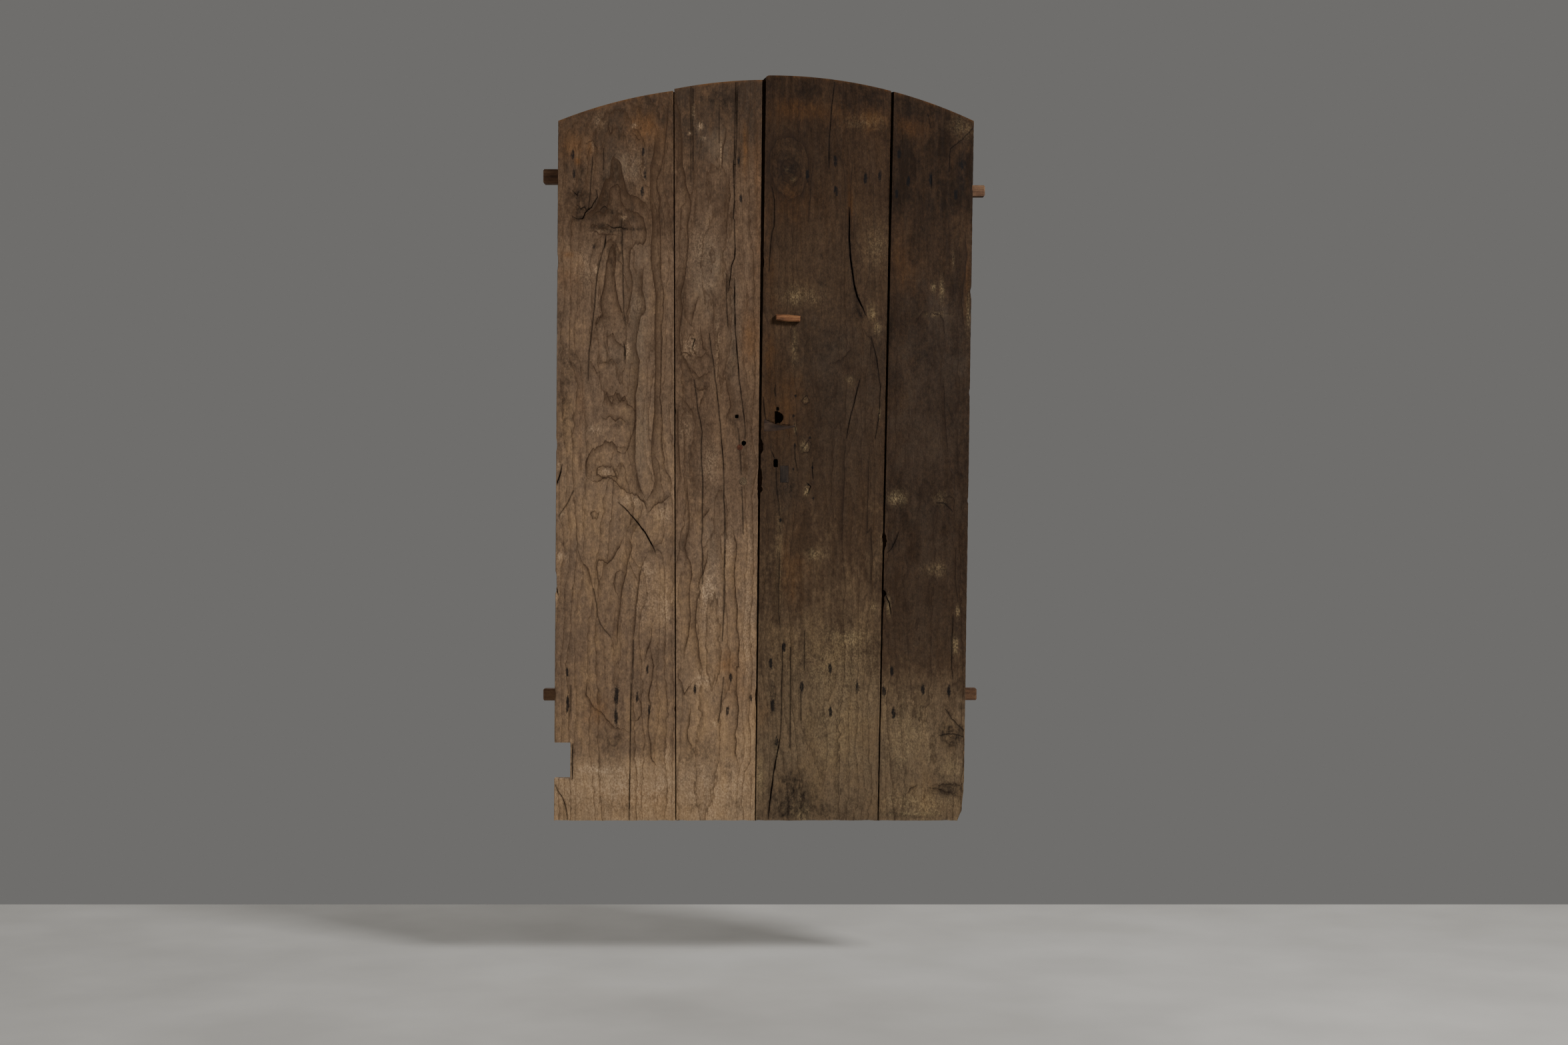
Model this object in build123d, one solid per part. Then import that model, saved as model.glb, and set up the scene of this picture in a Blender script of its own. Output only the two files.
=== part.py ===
"""A pair of old arched plank door leaves, hung on a wall.

Each leaf is two upright planks nailed to two ledges at the back. The ledges' outer ends stand past the
leaf as stub tenons. A wooden turn latch and a wooden stock lock with an iron bolt hold the leaves shut.
X runs across the leaves, Y from the front to the wall, Z up. All sizes are in millimetres.
"""
from build123d import *
import os
from math import sqrt

# Leaves: heights above the foot, and the curve of the arch
crown_height = 2002.0
arch_radius = 1280.0
left_inner_drop = 12.0
left_outer_drop = 30.5
right_arch_centre = 40.5
left_inner_arch_centre = 31.5
left_outer_arch_centre = -53.0

# Planks: widths at the foot, how far each edge leans to the right over the crown height, thickness
left_outer_width = 326.0
left_inner_width = 211.0
right_inner_width = 327.5
right_outer_width = 228.5
left_edge_lean = 12.0
left_joint_lean = -5.5
meeting_edge_lean = 24.0
right_joint_lean = 38.0
right_edge_lean = 30.0
plank_thickness = 36.0
edge_wear = 2.5

# Gaps between planks, at the foot and how much wider at the crown
plank_gap = 2.5
meeting_gap = 2.0
meeting_gap_growth = 7.0
right_joint_gap_growth = 4.0

# Rebates where one plank's edge laps behind the next
rebate_width = 14.0
rebate_lip = 17.0
rebate_clearance = 0.4

# Damage that the leaves carry
notch_foot = 112.0
notch_height = 98.0
notch_depth = 43.0
notch_slope = 3.0
splinter_width = 6.0
splinter_crack = 2.4
splinter_root = 6.0
broken_corner_height = 108.0
broken_corner_width = 17.0
broken_corner_bulge = 5.0
shoulder_chamfer = 19.0
meeting_corner_radius = 11.0
upper_break_z = 1005.0
upper_break_height = 41.0
upper_break_depth = 6.5
lower_break_z = 917.0
lower_break_height = 60.0
lower_break_depth = 4.5
torn_notch_z = 914.0
torn_notch_width = 5.0
torn_notch_reach = 19.0
torn_notch_drop = 25.0
joint_chip_z = 611.0
joint_chip_height = 17.0
joint_chip_depth = 9.0
wide_crack = 5.0
long_crack = 4.0
foot_crack = 3.0
open_crack = 2.5
fine_crack = 2.0
crack_depth = 14.0
crack_end_share = 0.3

# Ledges across the back, and the stub tenons at their outer ends
ledge_thickness = 50.0
ledge_height = 150.0
ledge_bevel = 9.0
ledge_setback = 30.0
ledge_shoulder = 8.0
stub_depth = 32.0
stub_back_inset = 5.0
stub_edge_wear = 3.0
upper_ledge_drop = 267.0
left_lower_ledge_z = 343.0
right_lower_ledge_z = 355.0
left_upper_stub_rise = 4.0
left_upper_stub_height = 38.0
left_upper_stub_reach = 44.5
left_lower_stub_rise = -8.0
left_lower_stub_height = 32.0
left_lower_stub_reach = 36.0
right_upper_stub_rise = -35.0
right_upper_stub_height = 29.0
right_upper_stub_reach = 36.5
right_lower_stub_rise = -19.0
right_lower_stub_height = 32.0
right_lower_stub_reach = 34.5

# Forged nails through planks and ledges, clenched into the ledge
nail_shank = 5.0
nail_head_width = 9.0
nail_head_height = 16.0
nail_head_thickness = 3.0
nail_head_bevel = 1.2
nail_head_sunk = 0.6
clench_length = 20.0
clench_thickness = 3.0

# Turn latch: a button on the face, a spindle through the plank and a bar behind
latch_z = 1349.0
latch_inset = 68.7
toggle_length = 66.0
toggle_height = 18.0
toggle_end_height = 15.0
toggle_thickness = 13.0
toggle_tilt = 3.5
toggle_bevel = 2.5
toggle_face_gap = 1.0
hollow_width = 24.0
hollow_height = 34.0
hollow_depth = 6.0
spindle_diameter = 16.0
spindle_clearance = 0.4
spindle_square = 11.0
spindle_tail = 12.0
bar_thickness = 22.0
bar_height = 34.0
bar_left_reach = 115.0
bar_right_reach = 45.0
bar_bevel = 4.0
bar_clearance = 0.5
bar_seat_clearance = 0.4
square_clearance = 0.15
latch_pin_diameter = 5.0
latch_pin_overhang = 9.0

# Keeper hook for the bar
keeper_length = 40.0
keeper_end_inset = 10.0
keeper_foot_height = 32.0
keeper_lip_thickness = 16.0
keeper_lip_rise = 24.0
keeper_bevel = 4.0

# Keyhole and slot
keyhole_z = 1082.6
keyhole_inset = 48.6
keyhole_width = 24.0
keyhole_height = 35.0
keyhole_funnel_height = 10.0
keyhole_funnel_depth = 7.0
keyhole_funnel_slope = 2.0
slot_z = 960.5
slot_inset = 40.8
slot_width = 12.0
slot_height = 22.0
slot_depth = 30.0

# Repairs let into the right leaf
patch_clearance = 0.3
keyhole_patch_depth = 12.0
keyhole_patch_inset = 8.3
keyhole_patch_length = 83.0
keyhole_patch_left_height = 34.0
keyhole_patch_top_z = 1080.0
keyhole_patch_drop = 17.0
keyhole_patch_right_height = 5.0
keyhole_patch_top_sag = 1.0
keyhole_patch_foot_rise = 3.0
slot_patch_inset = 64.6
slot_patch_z = 931.0
slot_patch_width = 22.0
slot_patch_height = 45.0
slot_patch_depth = 14.0

# Holes, peg and plug in the left leaf
square_hole_inset = 59.6
square_hole_z = 1086.0
square_hole_side = 10.0
round_hole_inset = 39.9
round_hole_z = 1014.5
round_hole_diameter = 13.0
peg_inset = 40.7
peg_z = 912.0
peg_diameter = 21.0
plug_inset = 50.4
plug_z = 1003.0
plug_diameter = 15.0
plug_depth = 20.0

# Stock lock on the right leaf
lock_inset = 6.0
lock_z = 1062.0
lock_width = 166.0
lock_height = 124.0
lock_thickness = 44.0
lock_bevel = 8.0
key_pocket_radius = 27.0
key_pocket_depth = 34.0
bolt_z = 1046.0
bolt_height = 18.0
bolt_thickness = 10.0
bolt_length = 150.0
bolt_clearance = 0.4
bolt_throw = 38.0
bolt_notch_width = 16.0
bolt_notch_depth = 6.0
bolt_notch_offset = 6.0
spring_thickness = 1.6
spring_breadth = 8.0
spring_length = 82.0
spring_rise = 11.0
spring_gap = 0.3
spring_pocket_side = 3.0
spring_pocket_right = 14.0
lock_nail_inset = 14.0
lock_nail_bite = 20.0
lock_nail_step = 55.0

# Keeper block for the bolt on the left leaf
lock_keeper_inset = 6.0
lock_keeper_width = 86.0
lock_keeper_height = 124.0
lock_keeper_thickness = 40.0
lock_keeper_bevel = 7.0
lock_mortise_depth = 34.0
block_nail_head = 10.0
block_nail_head_thickness = 3.0

# Nail places in each plank: share of the plank's width from its left edge, share of half the ledge's
# height from its middle
left_outer_upper_nails = [(0.13, 0.75), (0.15, 0.05), (0.74, 0.77), (0.76, 0.0), (0.73, -0.59)]
left_inner_upper_nails = [(0.74, 0.51), (0.77, -0.83)]
right_inner_upper_nails = [(0.34, -0.02), (0.56, 0.51), (0.57, -0.6), (0.80, -0.12), (0.91, -0.07)]
right_outer_upper_nails = [
    (0.07, -0.67), (0.10, 0.72), (0.21, -0.23), (0.48, -0.19), (0.87, 0.29), (0.80, -0.76),
]
left_outer_lower_nails = [
    (0.11, 0.72), (0.11, -0.24), (0.51, -0.08), (0.51, -0.81), (0.77, 0.83), (0.79, -0.61),
]
left_inner_lower_nails = [(0.25, 0.16), (0.69, 0.57), (0.65, -0.67)]
right_inner_lower_nails = [
    (0.14, 0.90), (0.14, -0.61), (0.38, 0.08), (0.61, 0.72), (0.61, -0.83), (0.83, 0.03),
]
right_outer_lower_nails = [(0.06, -0.13), (0.15, 0.58), (0.16, -0.90), (0.50, -0.08), (0.79, -0.08)]

# Open cracks on the faces: each crack's width at its middle, and its places from top to bottom as share
# of the plank's width and share of the crown height
left_outer_cracks = [
    (foot_crack, [(0.61, 0.223), (0.62, 0.12), (0.62, 0.0015)]),
    (long_crack, [(0.60, 0.411), (0.70, 0.398), (0.78, 0.379), (0.86, 0.363)]),
]
left_inner_cracks = [
    (open_crack, [(0.74, 0.914), (0.69, 0.79), (0.63, 0.734), (0.60, 0.675)]),
    (open_crack, [(0.46, 0.649), (0.51, 0.529), (0.59, 0.475), (0.62, 0.335)]),
    (fine_crack, [(0.07, 0.666), (0.25, 0.597), (0.33, 0.478), (0.31, 0.411)]),
]
right_inner_cracks = [
    (wide_crack, [(0.68, 0.822), (0.68, 0.774), (0.71, 0.733), (0.80, 0.682)]),
    (open_crack, [(0.73, 0.582), (0.69, 0.538), (0.67, 0.491)]),
    (open_crack, [(0.21, 0.134), (0.21, 0.102), (0.17, 0.071), (0.13, 0.0065)]),
]

# How far a cutting shape reaches past the face that it opens
past = 1.0

# Places worked out from the sizes above, from the meeting line's foot and the front face
back_face = plank_thickness
wall_face = plank_thickness + ledge_thickness
meeting_gap_top = meeting_gap + meeting_gap_growth
right_joint_gap_top = plank_gap + right_joint_gap_growth
upper_ledge_z = crown_height - upper_ledge_drop
left_upper_stub_z = upper_ledge_z + left_upper_stub_rise
right_upper_stub_z = upper_ledge_z + right_upper_stub_rise
left_lower_stub_z = left_lower_ledge_z + left_lower_stub_rise
right_lower_stub_z = right_lower_ledge_z + right_lower_stub_rise


def edge(foot, lean):
    """A plank edge as a straight line: its X at the foot and its lean over the crown height."""
    return (foot, lean)


def shifted(line, foot, top=None):
    """The same line moved across, by one amount at the foot and another at the crown height."""
    top = foot if top is None else top
    return (line[0] + foot, line[1] + top - foot)


def x_on(line, z):
    return line[0] + line[1] * z / crown_height


left_inner_right = edge(-meeting_gap / 2, meeting_edge_lean - meeting_gap_growth / 2)
right_inner_left = shifted(left_inner_right, meeting_gap, meeting_gap_top)
left_inner_left = edge(left_inner_right[0] - left_inner_width, left_joint_lean)
left_outer_right = shifted(left_inner_left, -plank_gap)
left_outer_left = edge(left_outer_right[0] - left_outer_width, left_edge_lean)
right_inner_right = edge(right_inner_left[0] + right_inner_width, right_joint_lean)
right_outer_left = shifted(right_inner_right, plank_gap, right_joint_gap_top)
right_outer_right = edge(right_outer_left[0] + right_outer_width, right_edge_lean)

right_arch = (right_arch_centre, crown_height)
left_inner_arch = (left_inner_arch_centre, crown_height - left_inner_drop)
left_outer_arch = (left_outer_arch_centre, crown_height - left_outer_drop)

# The part's middle is half way between the outermost stub ends, and half way through its depth
left_end = min(x_on(left_outer_left, left_upper_stub_z) - left_upper_stub_reach,
               x_on(left_outer_left, left_lower_stub_z) - left_lower_stub_reach)
right_end = max(x_on(right_outer_right, right_upper_stub_z) + right_upper_stub_reach,
                x_on(right_outer_right, right_lower_stub_z) + right_lower_stub_reach)
front_end = -toggle_face_gap - toggle_thickness
to_middle = Location((-(left_end + right_end) / 2, -(front_end + wall_face) / 2, 0))


def arch_z(arch, x):
    """Height of the arch at x, for an arch given by its crown's X and its crown height."""
    centre, crown = arch
    return crown - arch_radius + sqrt(arch_radius**2 - (x - centre)**2)


def corner(line, arch):
    """Where a leaning edge meets the arch."""
    z = crown_height
    for _ in range(6):
        z = arch_z(arch, x_on(line, z))
    return (x_on(line, z), z)


def block(x0, x1, y0, y1, z0, z1):
    """A plain block between two corners."""
    return Pos((x0 + x1) / 2, (y0 + y1) / 2, (z0 + z1) / 2) * Box(x1 - x0, y1 - y0, z1 - z0)


def upright(edges, y0, y1):
    """A closed outline drawn at depth y0, thickened towards the wall to y1."""
    return extrude(Face(Wire(edges)), amount=y1 - y0, dir=(0, 1, 0))


def polygon(points, y0, y1):
    """A straight-sided outline in X and Z, thickened from y0 to y1."""
    corners = [Vector(x, y0, z) for x, z in points]
    return upright([Line(a, b) for a, b in zip(corners, corners[1:] + corners[:1])], y0, y1)


def rod(x, z, diameter, y0, y1):
    """A round rod or hole that runs from front to back."""
    return Pos(x, (y0 + y1) / 2, z) * Rot(90, 0, 0) * Cylinder(diameter / 2, y1 - y0)


def strip(left, right, arch, y0, y1):
    """The part of a leaf between two leaning edges, under the arch, from depth y0 to y1."""
    x_left, z_left = corner(left, arch)
    x_right, z_right = corner(right, arch)
    x_mid = (x_left + x_right) / 2
    foot_left = Vector(left[0], y0, 0)
    foot_right = Vector(right[0], y0, 0)
    top_left = Vector(x_left, y0, z_left)
    top_right = Vector(x_right, y0, z_right)
    top = ThreePointArc(top_right, Vector(x_mid, y0, arch_z(arch, x_mid)), top_left)
    sides = [Line(foot_left, foot_right), Line(foot_right, top_right), top, Line(top_left, foot_left)]
    return upright(sides, y0, y1)


def worn(solid):
    """The plank with its front arrises worn off."""
    front = solid.faces().sort_by(Axis.Y)[0]
    return chamfer(front.edges(), edge_wear)


def crack(line_left, line_right, width, places):
    """A tapering open crack that runs down the face of a plank."""
    path = []
    for across, up in places:
        z = up * crown_height
        left = x_on(line_left, z)
        path.append((left + across * (x_on(line_right, z) - left), z))
    last = len(path) - 1
    half = [width / 2 * (crack_end_share if i in (0, last) else 1) for i in range(len(path))]
    right_side = [(x + h, z) for (x, z), h in zip(path, half)]
    left_side = [(x - h, z) for (x, z), h in zip(path, half)]
    return polygon(right_side + left_side[::-1], -past, crack_depth)


def with_cracks(plank, line_left, line_right, cracks):
    for width, places in cracks:
        plank -= crack(line_left, line_right, width, places)
    return plank


# Nails
def nail(x, z, towards_middle):
    """A forged nail: a small bevelled head in the face, a square shank, and a tip clenched at the back."""
    head_y = nail_head_sunk
    half_width = nail_head_width / 2
    half_height = nail_head_height / 2
    head = block(x - half_width, x + half_width, head_y, head_y + nail_head_thickness,
                 z - half_height, z + half_height)
    head = chamfer(head.faces().sort_by(Axis.Y)[0].edges(), nail_head_bevel)
    half = nail_shank / 2
    shank = block(x - half, x + half, head_y + nail_head_thickness, wall_face, z - half, z + half)
    tip_end = z + towards_middle * (half + clench_length)
    tip = block(x - half, x + half, wall_face - clench_thickness, wall_face, min(z, tip_end), max(z, tip_end))
    return head + shank + tip


def nails(line_left, line_right, ledge_z, places):
    """The nails that hold one plank to one ledge."""
    made = []
    for across, up in places:
        z = ledge_z + up * ledge_height / 2
        x_left = x_on(line_left, z)
        x = x_left + across * (x_on(line_right, z) - x_left)
        made.append(nail(x, z, -1 if up >= 0 else 1))
    return made


left_outer_lines = (left_outer_left, left_outer_right)
left_inner_lines = (left_inner_left, left_inner_right)
right_inner_lines = (right_inner_left, right_inner_right)
right_outer_lines = (right_outer_left, right_outer_right)

nails_in = {
    ("left_outer", "upper"): nails(*left_outer_lines, upper_ledge_z, left_outer_upper_nails),
    ("left_outer", "lower"): nails(*left_outer_lines, left_lower_ledge_z, left_outer_lower_nails),
    ("left_inner", "upper"): nails(*left_inner_lines, upper_ledge_z, left_inner_upper_nails),
    ("left_inner", "lower"): nails(*left_inner_lines, left_lower_ledge_z, left_inner_lower_nails),
    ("right_inner", "upper"): nails(*right_inner_lines, upper_ledge_z, right_inner_upper_nails),
    ("right_inner", "lower"): nails(*right_inner_lines, right_lower_ledge_z, right_inner_lower_nails),
    ("right_outer", "upper"): nails(*right_outer_lines, upper_ledge_z, right_outer_upper_nails),
    ("right_outer", "lower"): nails(*right_outer_lines, right_lower_ledge_z, right_outer_lower_nails),
}


def block_nail(x, z, head_back, bite):
    """A nail driven from behind: a square head at head_back and a shank that bites into the plank."""
    half_head = block_nail_head / 2
    half = nail_shank / 2
    head_front = head_back - block_nail_head_thickness
    head = block(x - half_head, x + half_head, head_front, head_back, z - half_head, z + half_head)
    head = chamfer(head.faces().sort_by(Axis.Y)[-1].edges(), nail_head_bevel)
    return head + block(x - half, x + half, back_face - bite, head_front, z - half, z + half)


# Places on the leaves that several pieces share
latch_x = x_on(right_inner_left, latch_z) + latch_inset
keyhole_x = x_on(right_inner_left, keyhole_z) + keyhole_inset
slot_x = x_on(right_inner_left, slot_z) + slot_inset
slot_patch_x = x_on(right_inner_left, slot_patch_z) + slot_patch_inset
square_hole_x = x_on(left_inner_right, square_hole_z) - square_hole_inset
round_hole_x = x_on(left_inner_right, round_hole_z) - round_hole_inset
peg_x = x_on(left_inner_right, peg_z) - peg_inset
plug_x = x_on(left_inner_right, plug_z) - plug_inset

bar_front = back_face + bar_clearance
bar_back = bar_front + bar_thickness
spindle_back = bar_back + spindle_tail
keeper_left = latch_x - bar_left_reach - keeper_end_inset
keeper_shelf = latch_z - bar_height / 2 - bar_seat_clearance
keeper_lip_front = bar_back + bar_clearance
keeper_back = keeper_lip_front + keeper_lip_thickness

lock_left = x_on(right_inner_left, lock_z) + lock_inset
lock_right = lock_left + lock_width
lock_foot = lock_z - lock_height / 2
lock_top = lock_z + lock_height / 2
lock_back = back_face + lock_thickness
lock_keeper_right = x_on(left_inner_right, lock_z) - lock_keeper_inset
lock_keeper_left = lock_keeper_right - lock_keeper_width
lock_keeper_foot = lock_z - lock_keeper_height / 2
lock_keeper_top = lock_z + lock_keeper_height / 2
lock_keeper_back = back_face + lock_keeper_thickness
bolt_front = back_face + bolt_clearance
bolt_back = bolt_front + bolt_thickness
bolt_foot = bolt_z - bolt_height / 2
bolt_top = bolt_z + bolt_height / 2
spring_right = lock_right - spring_pocket_right - spring_pocket_side
spring_left = spring_right - spring_length


def bolt_groove(x0, x1):
    """Room for the bolt against the back of the planks."""
    return block(x0, x1, back_face, bolt_back + bolt_clearance,
                 bolt_foot - bolt_clearance, bolt_top + bolt_clearance)


# Repairs
def keyhole_patch_outline(grow):
    """The crescent's two outlines, upper and lower, each from left to right, grown by a clearance."""
    left = x_on(right_inner_left, keyhole_patch_top_z) + keyhole_patch_inset - grow
    right = left + keyhole_patch_length + 2 * grow
    middle = (left + right) / 2
    top = keyhole_patch_top_z + grow
    foot = keyhole_patch_top_z - keyhole_patch_left_height - grow
    right_top = keyhole_patch_top_z - keyhole_patch_drop + grow
    right_foot = right_top - keyhole_patch_right_height - 2 * grow
    upper = [(left, top), (middle, right_top - keyhole_patch_top_sag), (right, right_top)]
    lower = [(left, foot), (middle, foot + keyhole_patch_foot_rise), (right, right_foot)]
    return upper, lower


def crescent(grow, y0, y1):
    upper, lower = keyhole_patch_outline(grow)
    upper = [Vector(x, y0, z) for x, z in upper]
    lower = [Vector(x, y0, z) for x, z in lower]
    sides = [
        Line(lower[0], upper[0]),
        ThreePointArc(*upper),
        Line(upper[2], lower[2]),
        ThreePointArc(*lower[::-1]),
    ]
    return upright(sides, y0, y1)


def keyhole_patch():
    return crescent(0, 0, keyhole_patch_depth)


def slot_patch_block(grow, y0):
    half_width = slot_patch_width / 2 + grow
    half_height = slot_patch_height / 2 + grow
    return block(slot_patch_x - half_width, slot_patch_x + half_width, y0, slot_patch_depth,
                 slot_patch_z - half_height, slot_patch_z + half_height)


def slot_patch():
    return slot_patch_block(0, 0)


# Openings in the right inner plank
def keyhole():
    """Straight on the left, round on the right, with a shallow worn funnel above."""
    half_width = keyhole_width / 2
    half_height = keyhole_height / 2
    left = keyhole_x - half_width
    foot = Vector(left, -past, keyhole_z - half_height)
    top = Vector(left, -past, keyhole_z + half_height)
    bulge = Vector(keyhole_x + half_width, -past, keyhole_z)
    through = upright([Line(foot, top), ThreePointArc(top, bulge, foot)], -past, back_face + past)
    funnel_top = keyhole_z + half_height + keyhole_funnel_height
    funnel_outline = [
        (left, keyhole_z),
        (left, funnel_top),
        (keyhole_x, funnel_top - keyhole_funnel_slope),
        (keyhole_x + half_width / 2, keyhole_z),
    ]
    return through + polygon(funnel_outline, -past, keyhole_funnel_depth)


def slot():
    half_width = slot_width / 2
    half_height = slot_height / 2
    return block(slot_x - half_width, slot_x + half_width, -past, slot_depth,
                 slot_z - half_height, slot_z + half_height)


def latch_hollow():
    """The bore for the spindle and the oval that turning has worn round it."""
    ring = Ellipse(hollow_width / 2, hollow_height / 2)
    hollow = extrude(Pos(latch_x, -past, latch_z) * Rot(-90, 0, 0) * ring, amount=hollow_depth + past)
    bore = spindle_diameter + 2 * spindle_clearance
    return hollow + rod(latch_x, latch_z, bore, -past, back_face + past)


# Planks
def tongue(line, arch, side):
    """The back half of a plank's edge, which laps behind its neighbour."""
    reach = shifted(line, side * rebate_width)
    root = shifted(line, -side * past)
    left, right = (root, reach) if side > 0 else (reach, root)
    return strip(left, right, arch, rebate_lip + rebate_clearance, plank_thickness)


def rebate(line, arch):
    """The room behind a plank's edge for its neighbour's tongue."""
    above = (arch[0], arch[1] + rebate_width)
    return strip(shifted(line, -rebate_width), shifted(line, rebate_width), above,
                 rebate_lip, plank_thickness + past)


def foot_notch():
    """The piece broken out of the left edge near the foot, and the crack behind the splinter it left."""
    edge_x = x_on(left_outer_left, notch_foot)
    outside = edge_x - notch_depth
    inside = edge_x + notch_depth
    notch_top = notch_foot + notch_height
    opening_foot = notch_foot + notch_slope
    opening = [(outside, notch_foot), (inside, opening_foot), (inside, notch_top), (outside, notch_top)]
    crack_left = inside + splinter_width
    crack_right = crack_left + splinter_crack
    crack_foot = notch_foot + splinter_root
    crack_top = notch_top - splinter_root
    through = plank_thickness + past
    split = block(crack_left, crack_right, -past, through, crack_foot, crack_top)
    return [polygon(opening, -past, through), split]


def edge_chip(line, z, height, depth):
    """A splinter broken out of a left edge's front lip, deepest a little below its middle."""
    top = z + height / 2
    foot = z - height / 2
    low = z - height / 6
    high = z + height / 4
    outside = x_on(line, z) - past
    outline = [
        (outside, foot),
        (x_on(line, low) + depth, low),
        (x_on(line, high) + 0.8 * depth, high),
        (outside, top),
    ]
    return polygon(outline, -past, rebate_lip)


def torn_notch():
    """A short tear that runs down into the plank from the meeting edge."""
    x = x_on(right_inner_left, torn_notch_z)
    half = torn_notch_width / 2
    tip = (x + torn_notch_reach, torn_notch_z - torn_notch_drop)
    return polygon([(x - past, torn_notch_z - half), tip, (x - past, torn_notch_z + half)], -past, rebate_lip)


def broken_foot_corner():
    """The corner lost from the right edge at the foot."""
    foot_x = right_outer_right[0]
    top_x = x_on(right_outer_right, broken_corner_height)
    outside = top_x + broken_corner_width
    outline = [
        (outside, broken_corner_height),
        (top_x, broken_corner_height),
        (foot_x - broken_corner_bulge, broken_corner_height / 4),
        (foot_x - broken_corner_width, -past),
        (outside, -past),
    ]
    return polygon(outline, -past, plank_thickness + past)


def cut_shoulder():
    """The corner sawn off where the right edge meets the arch."""
    x, z = corner(right_outer_right, right_arch)
    size = shoulder_chamfer
    outline = [(x - size, z + size), (x + size, z + size), (x + size, z - size), (x, z - size), (x - size, z)]
    return polygon(outline, -past, plank_thickness + past)


def left_outer_plank():
    plank = worn(strip(left_outer_left, left_outer_right, left_outer_arch, 0, plank_thickness))
    plank += tongue(left_outer_right, left_outer_arch, 1)
    plank -= foot_notch()
    plank = with_cracks(plank, *left_outer_lines, left_outer_cracks)
    return plank - nails_in["left_outer", "upper"] - nails_in["left_outer", "lower"]


def left_inner_plank():
    plank = worn(strip(left_inner_left, left_inner_right, left_inner_arch, 0, plank_thickness))
    plank -= rebate(left_inner_left, left_inner_arch)
    plank -= rebate(left_inner_right, left_inner_arch)
    half = square_hole_side / 2
    plank -= block(square_hole_x - half, square_hole_x + half, -past, back_face + past,
                   square_hole_z - half, square_hole_z + half)
    plank -= rod(round_hole_x, round_hole_z, round_hole_diameter, -past, back_face + past)
    plank -= rod(peg_x, peg_z, peg_diameter, -past, back_face + past)
    plank -= rod(plug_x, plug_z, plug_diameter, -past, plug_depth)
    plank = with_cracks(plank, *left_inner_lines, left_inner_cracks)
    plank -= lock_keeper_nails() + latch_keeper_nails()
    return plank - nails_in["left_inner", "upper"] - nails_in["left_inner", "lower"]


def right_inner_plank():
    plank = strip(right_inner_left, right_inner_right, right_arch, 0, plank_thickness)
    top_corners = plank.edges().filter_by(Axis.Y).sort_by(Axis.Z)[-2:]
    plank = fillet(top_corners.sort_by(Axis.X)[0], meeting_corner_radius)
    plank = worn(plank)
    plank += tongue(right_inner_left, right_arch, -1)
    plank -= rebate(right_inner_right, right_arch)
    plank -= keyhole()
    plank -= slot()
    plank -= latch_hollow()
    plank -= crescent(patch_clearance, -past, keyhole_patch_depth)
    plank -= slot_patch_block(patch_clearance, -past)
    plank -= edge_chip(right_inner_left, upper_break_z, upper_break_height, upper_break_depth)
    plank -= edge_chip(right_inner_left, lower_break_z, lower_break_height, lower_break_depth)
    plank -= torn_notch()
    plank = with_cracks(plank, *right_inner_lines, right_inner_cracks)
    plank -= lock_nails()
    return plank - nails_in["right_inner", "upper"] - nails_in["right_inner", "lower"]


def right_outer_plank():
    plank = strip(right_outer_left, right_outer_right, right_arch, 0, plank_thickness)
    plank -= cut_shoulder()
    plank -= broken_foot_corner()
    plank = worn(plank)
    plank += tongue(right_outer_left, right_arch, -1)
    plank -= edge_chip(right_outer_left, joint_chip_z, joint_chip_height, joint_chip_depth)
    return plank - nails_in["right_outer", "upper"] - nails_in["right_outer", "lower"]


# Ledges
def ledge(outer_line, inner_line, side, z, stub_z, stub_height, stub_reach, fixings):
    """A board across the back with bevelled long edges. Its outer end narrows to a stub tenon."""
    z0 = z - ledge_height / 2
    z1 = z + ledge_height / 2
    outer = x_on(outer_line, z) - side * ledge_shoulder
    inner = x_on(inner_line, z) - side * -ledge_setback
    body = block(min(inner, outer), max(inner, outer), back_face, wall_face, z0, z1)
    long_edges = body.faces().sort_by(Axis.Y)[-1].edges().filter_by(Axis.X)
    body = chamfer(long_edges, ledge_bevel)
    end = x_on(outer_line, stub_z) + side * stub_reach
    stub_back = wall_face - stub_back_inset
    root = outer - side * ledge_shoulder
    stub = block(min(root, end), max(root, end), stub_back - stub_depth, stub_back,
                 stub_z - stub_height / 2, stub_z + stub_height / 2)
    tip = stub.faces().sort_by(Axis.X)[-1 if side > 0 else 0]
    stub = chamfer(tip.edges(), stub_edge_wear)
    return body + stub - fixings


def left_upper_ledge():
    fixings = nails_in["left_outer", "upper"] + nails_in["left_inner", "upper"]
    return ledge(left_outer_left, left_inner_right, -1, upper_ledge_z, left_upper_stub_z,
                 left_upper_stub_height, left_upper_stub_reach, fixings)


def left_lower_ledge():
    fixings = nails_in["left_outer", "lower"] + nails_in["left_inner", "lower"]
    return ledge(left_outer_left, left_inner_right, -1, left_lower_ledge_z, left_lower_stub_z,
                 left_lower_stub_height, left_lower_stub_reach, fixings)


def right_upper_ledge():
    fixings = nails_in["right_inner", "upper"] + nails_in["right_outer", "upper"]
    return ledge(right_outer_right, right_inner_left, 1, upper_ledge_z, right_upper_stub_z,
                 right_upper_stub_height, right_upper_stub_reach, fixings)


def right_lower_ledge():
    fixings = nails_in["right_inner", "lower"] + nails_in["right_outer", "lower"]
    return ledge(right_outer_right, right_inner_left, 1, right_lower_ledge_z, right_lower_stub_z,
                 right_lower_stub_height, right_lower_stub_reach, fixings)


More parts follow.
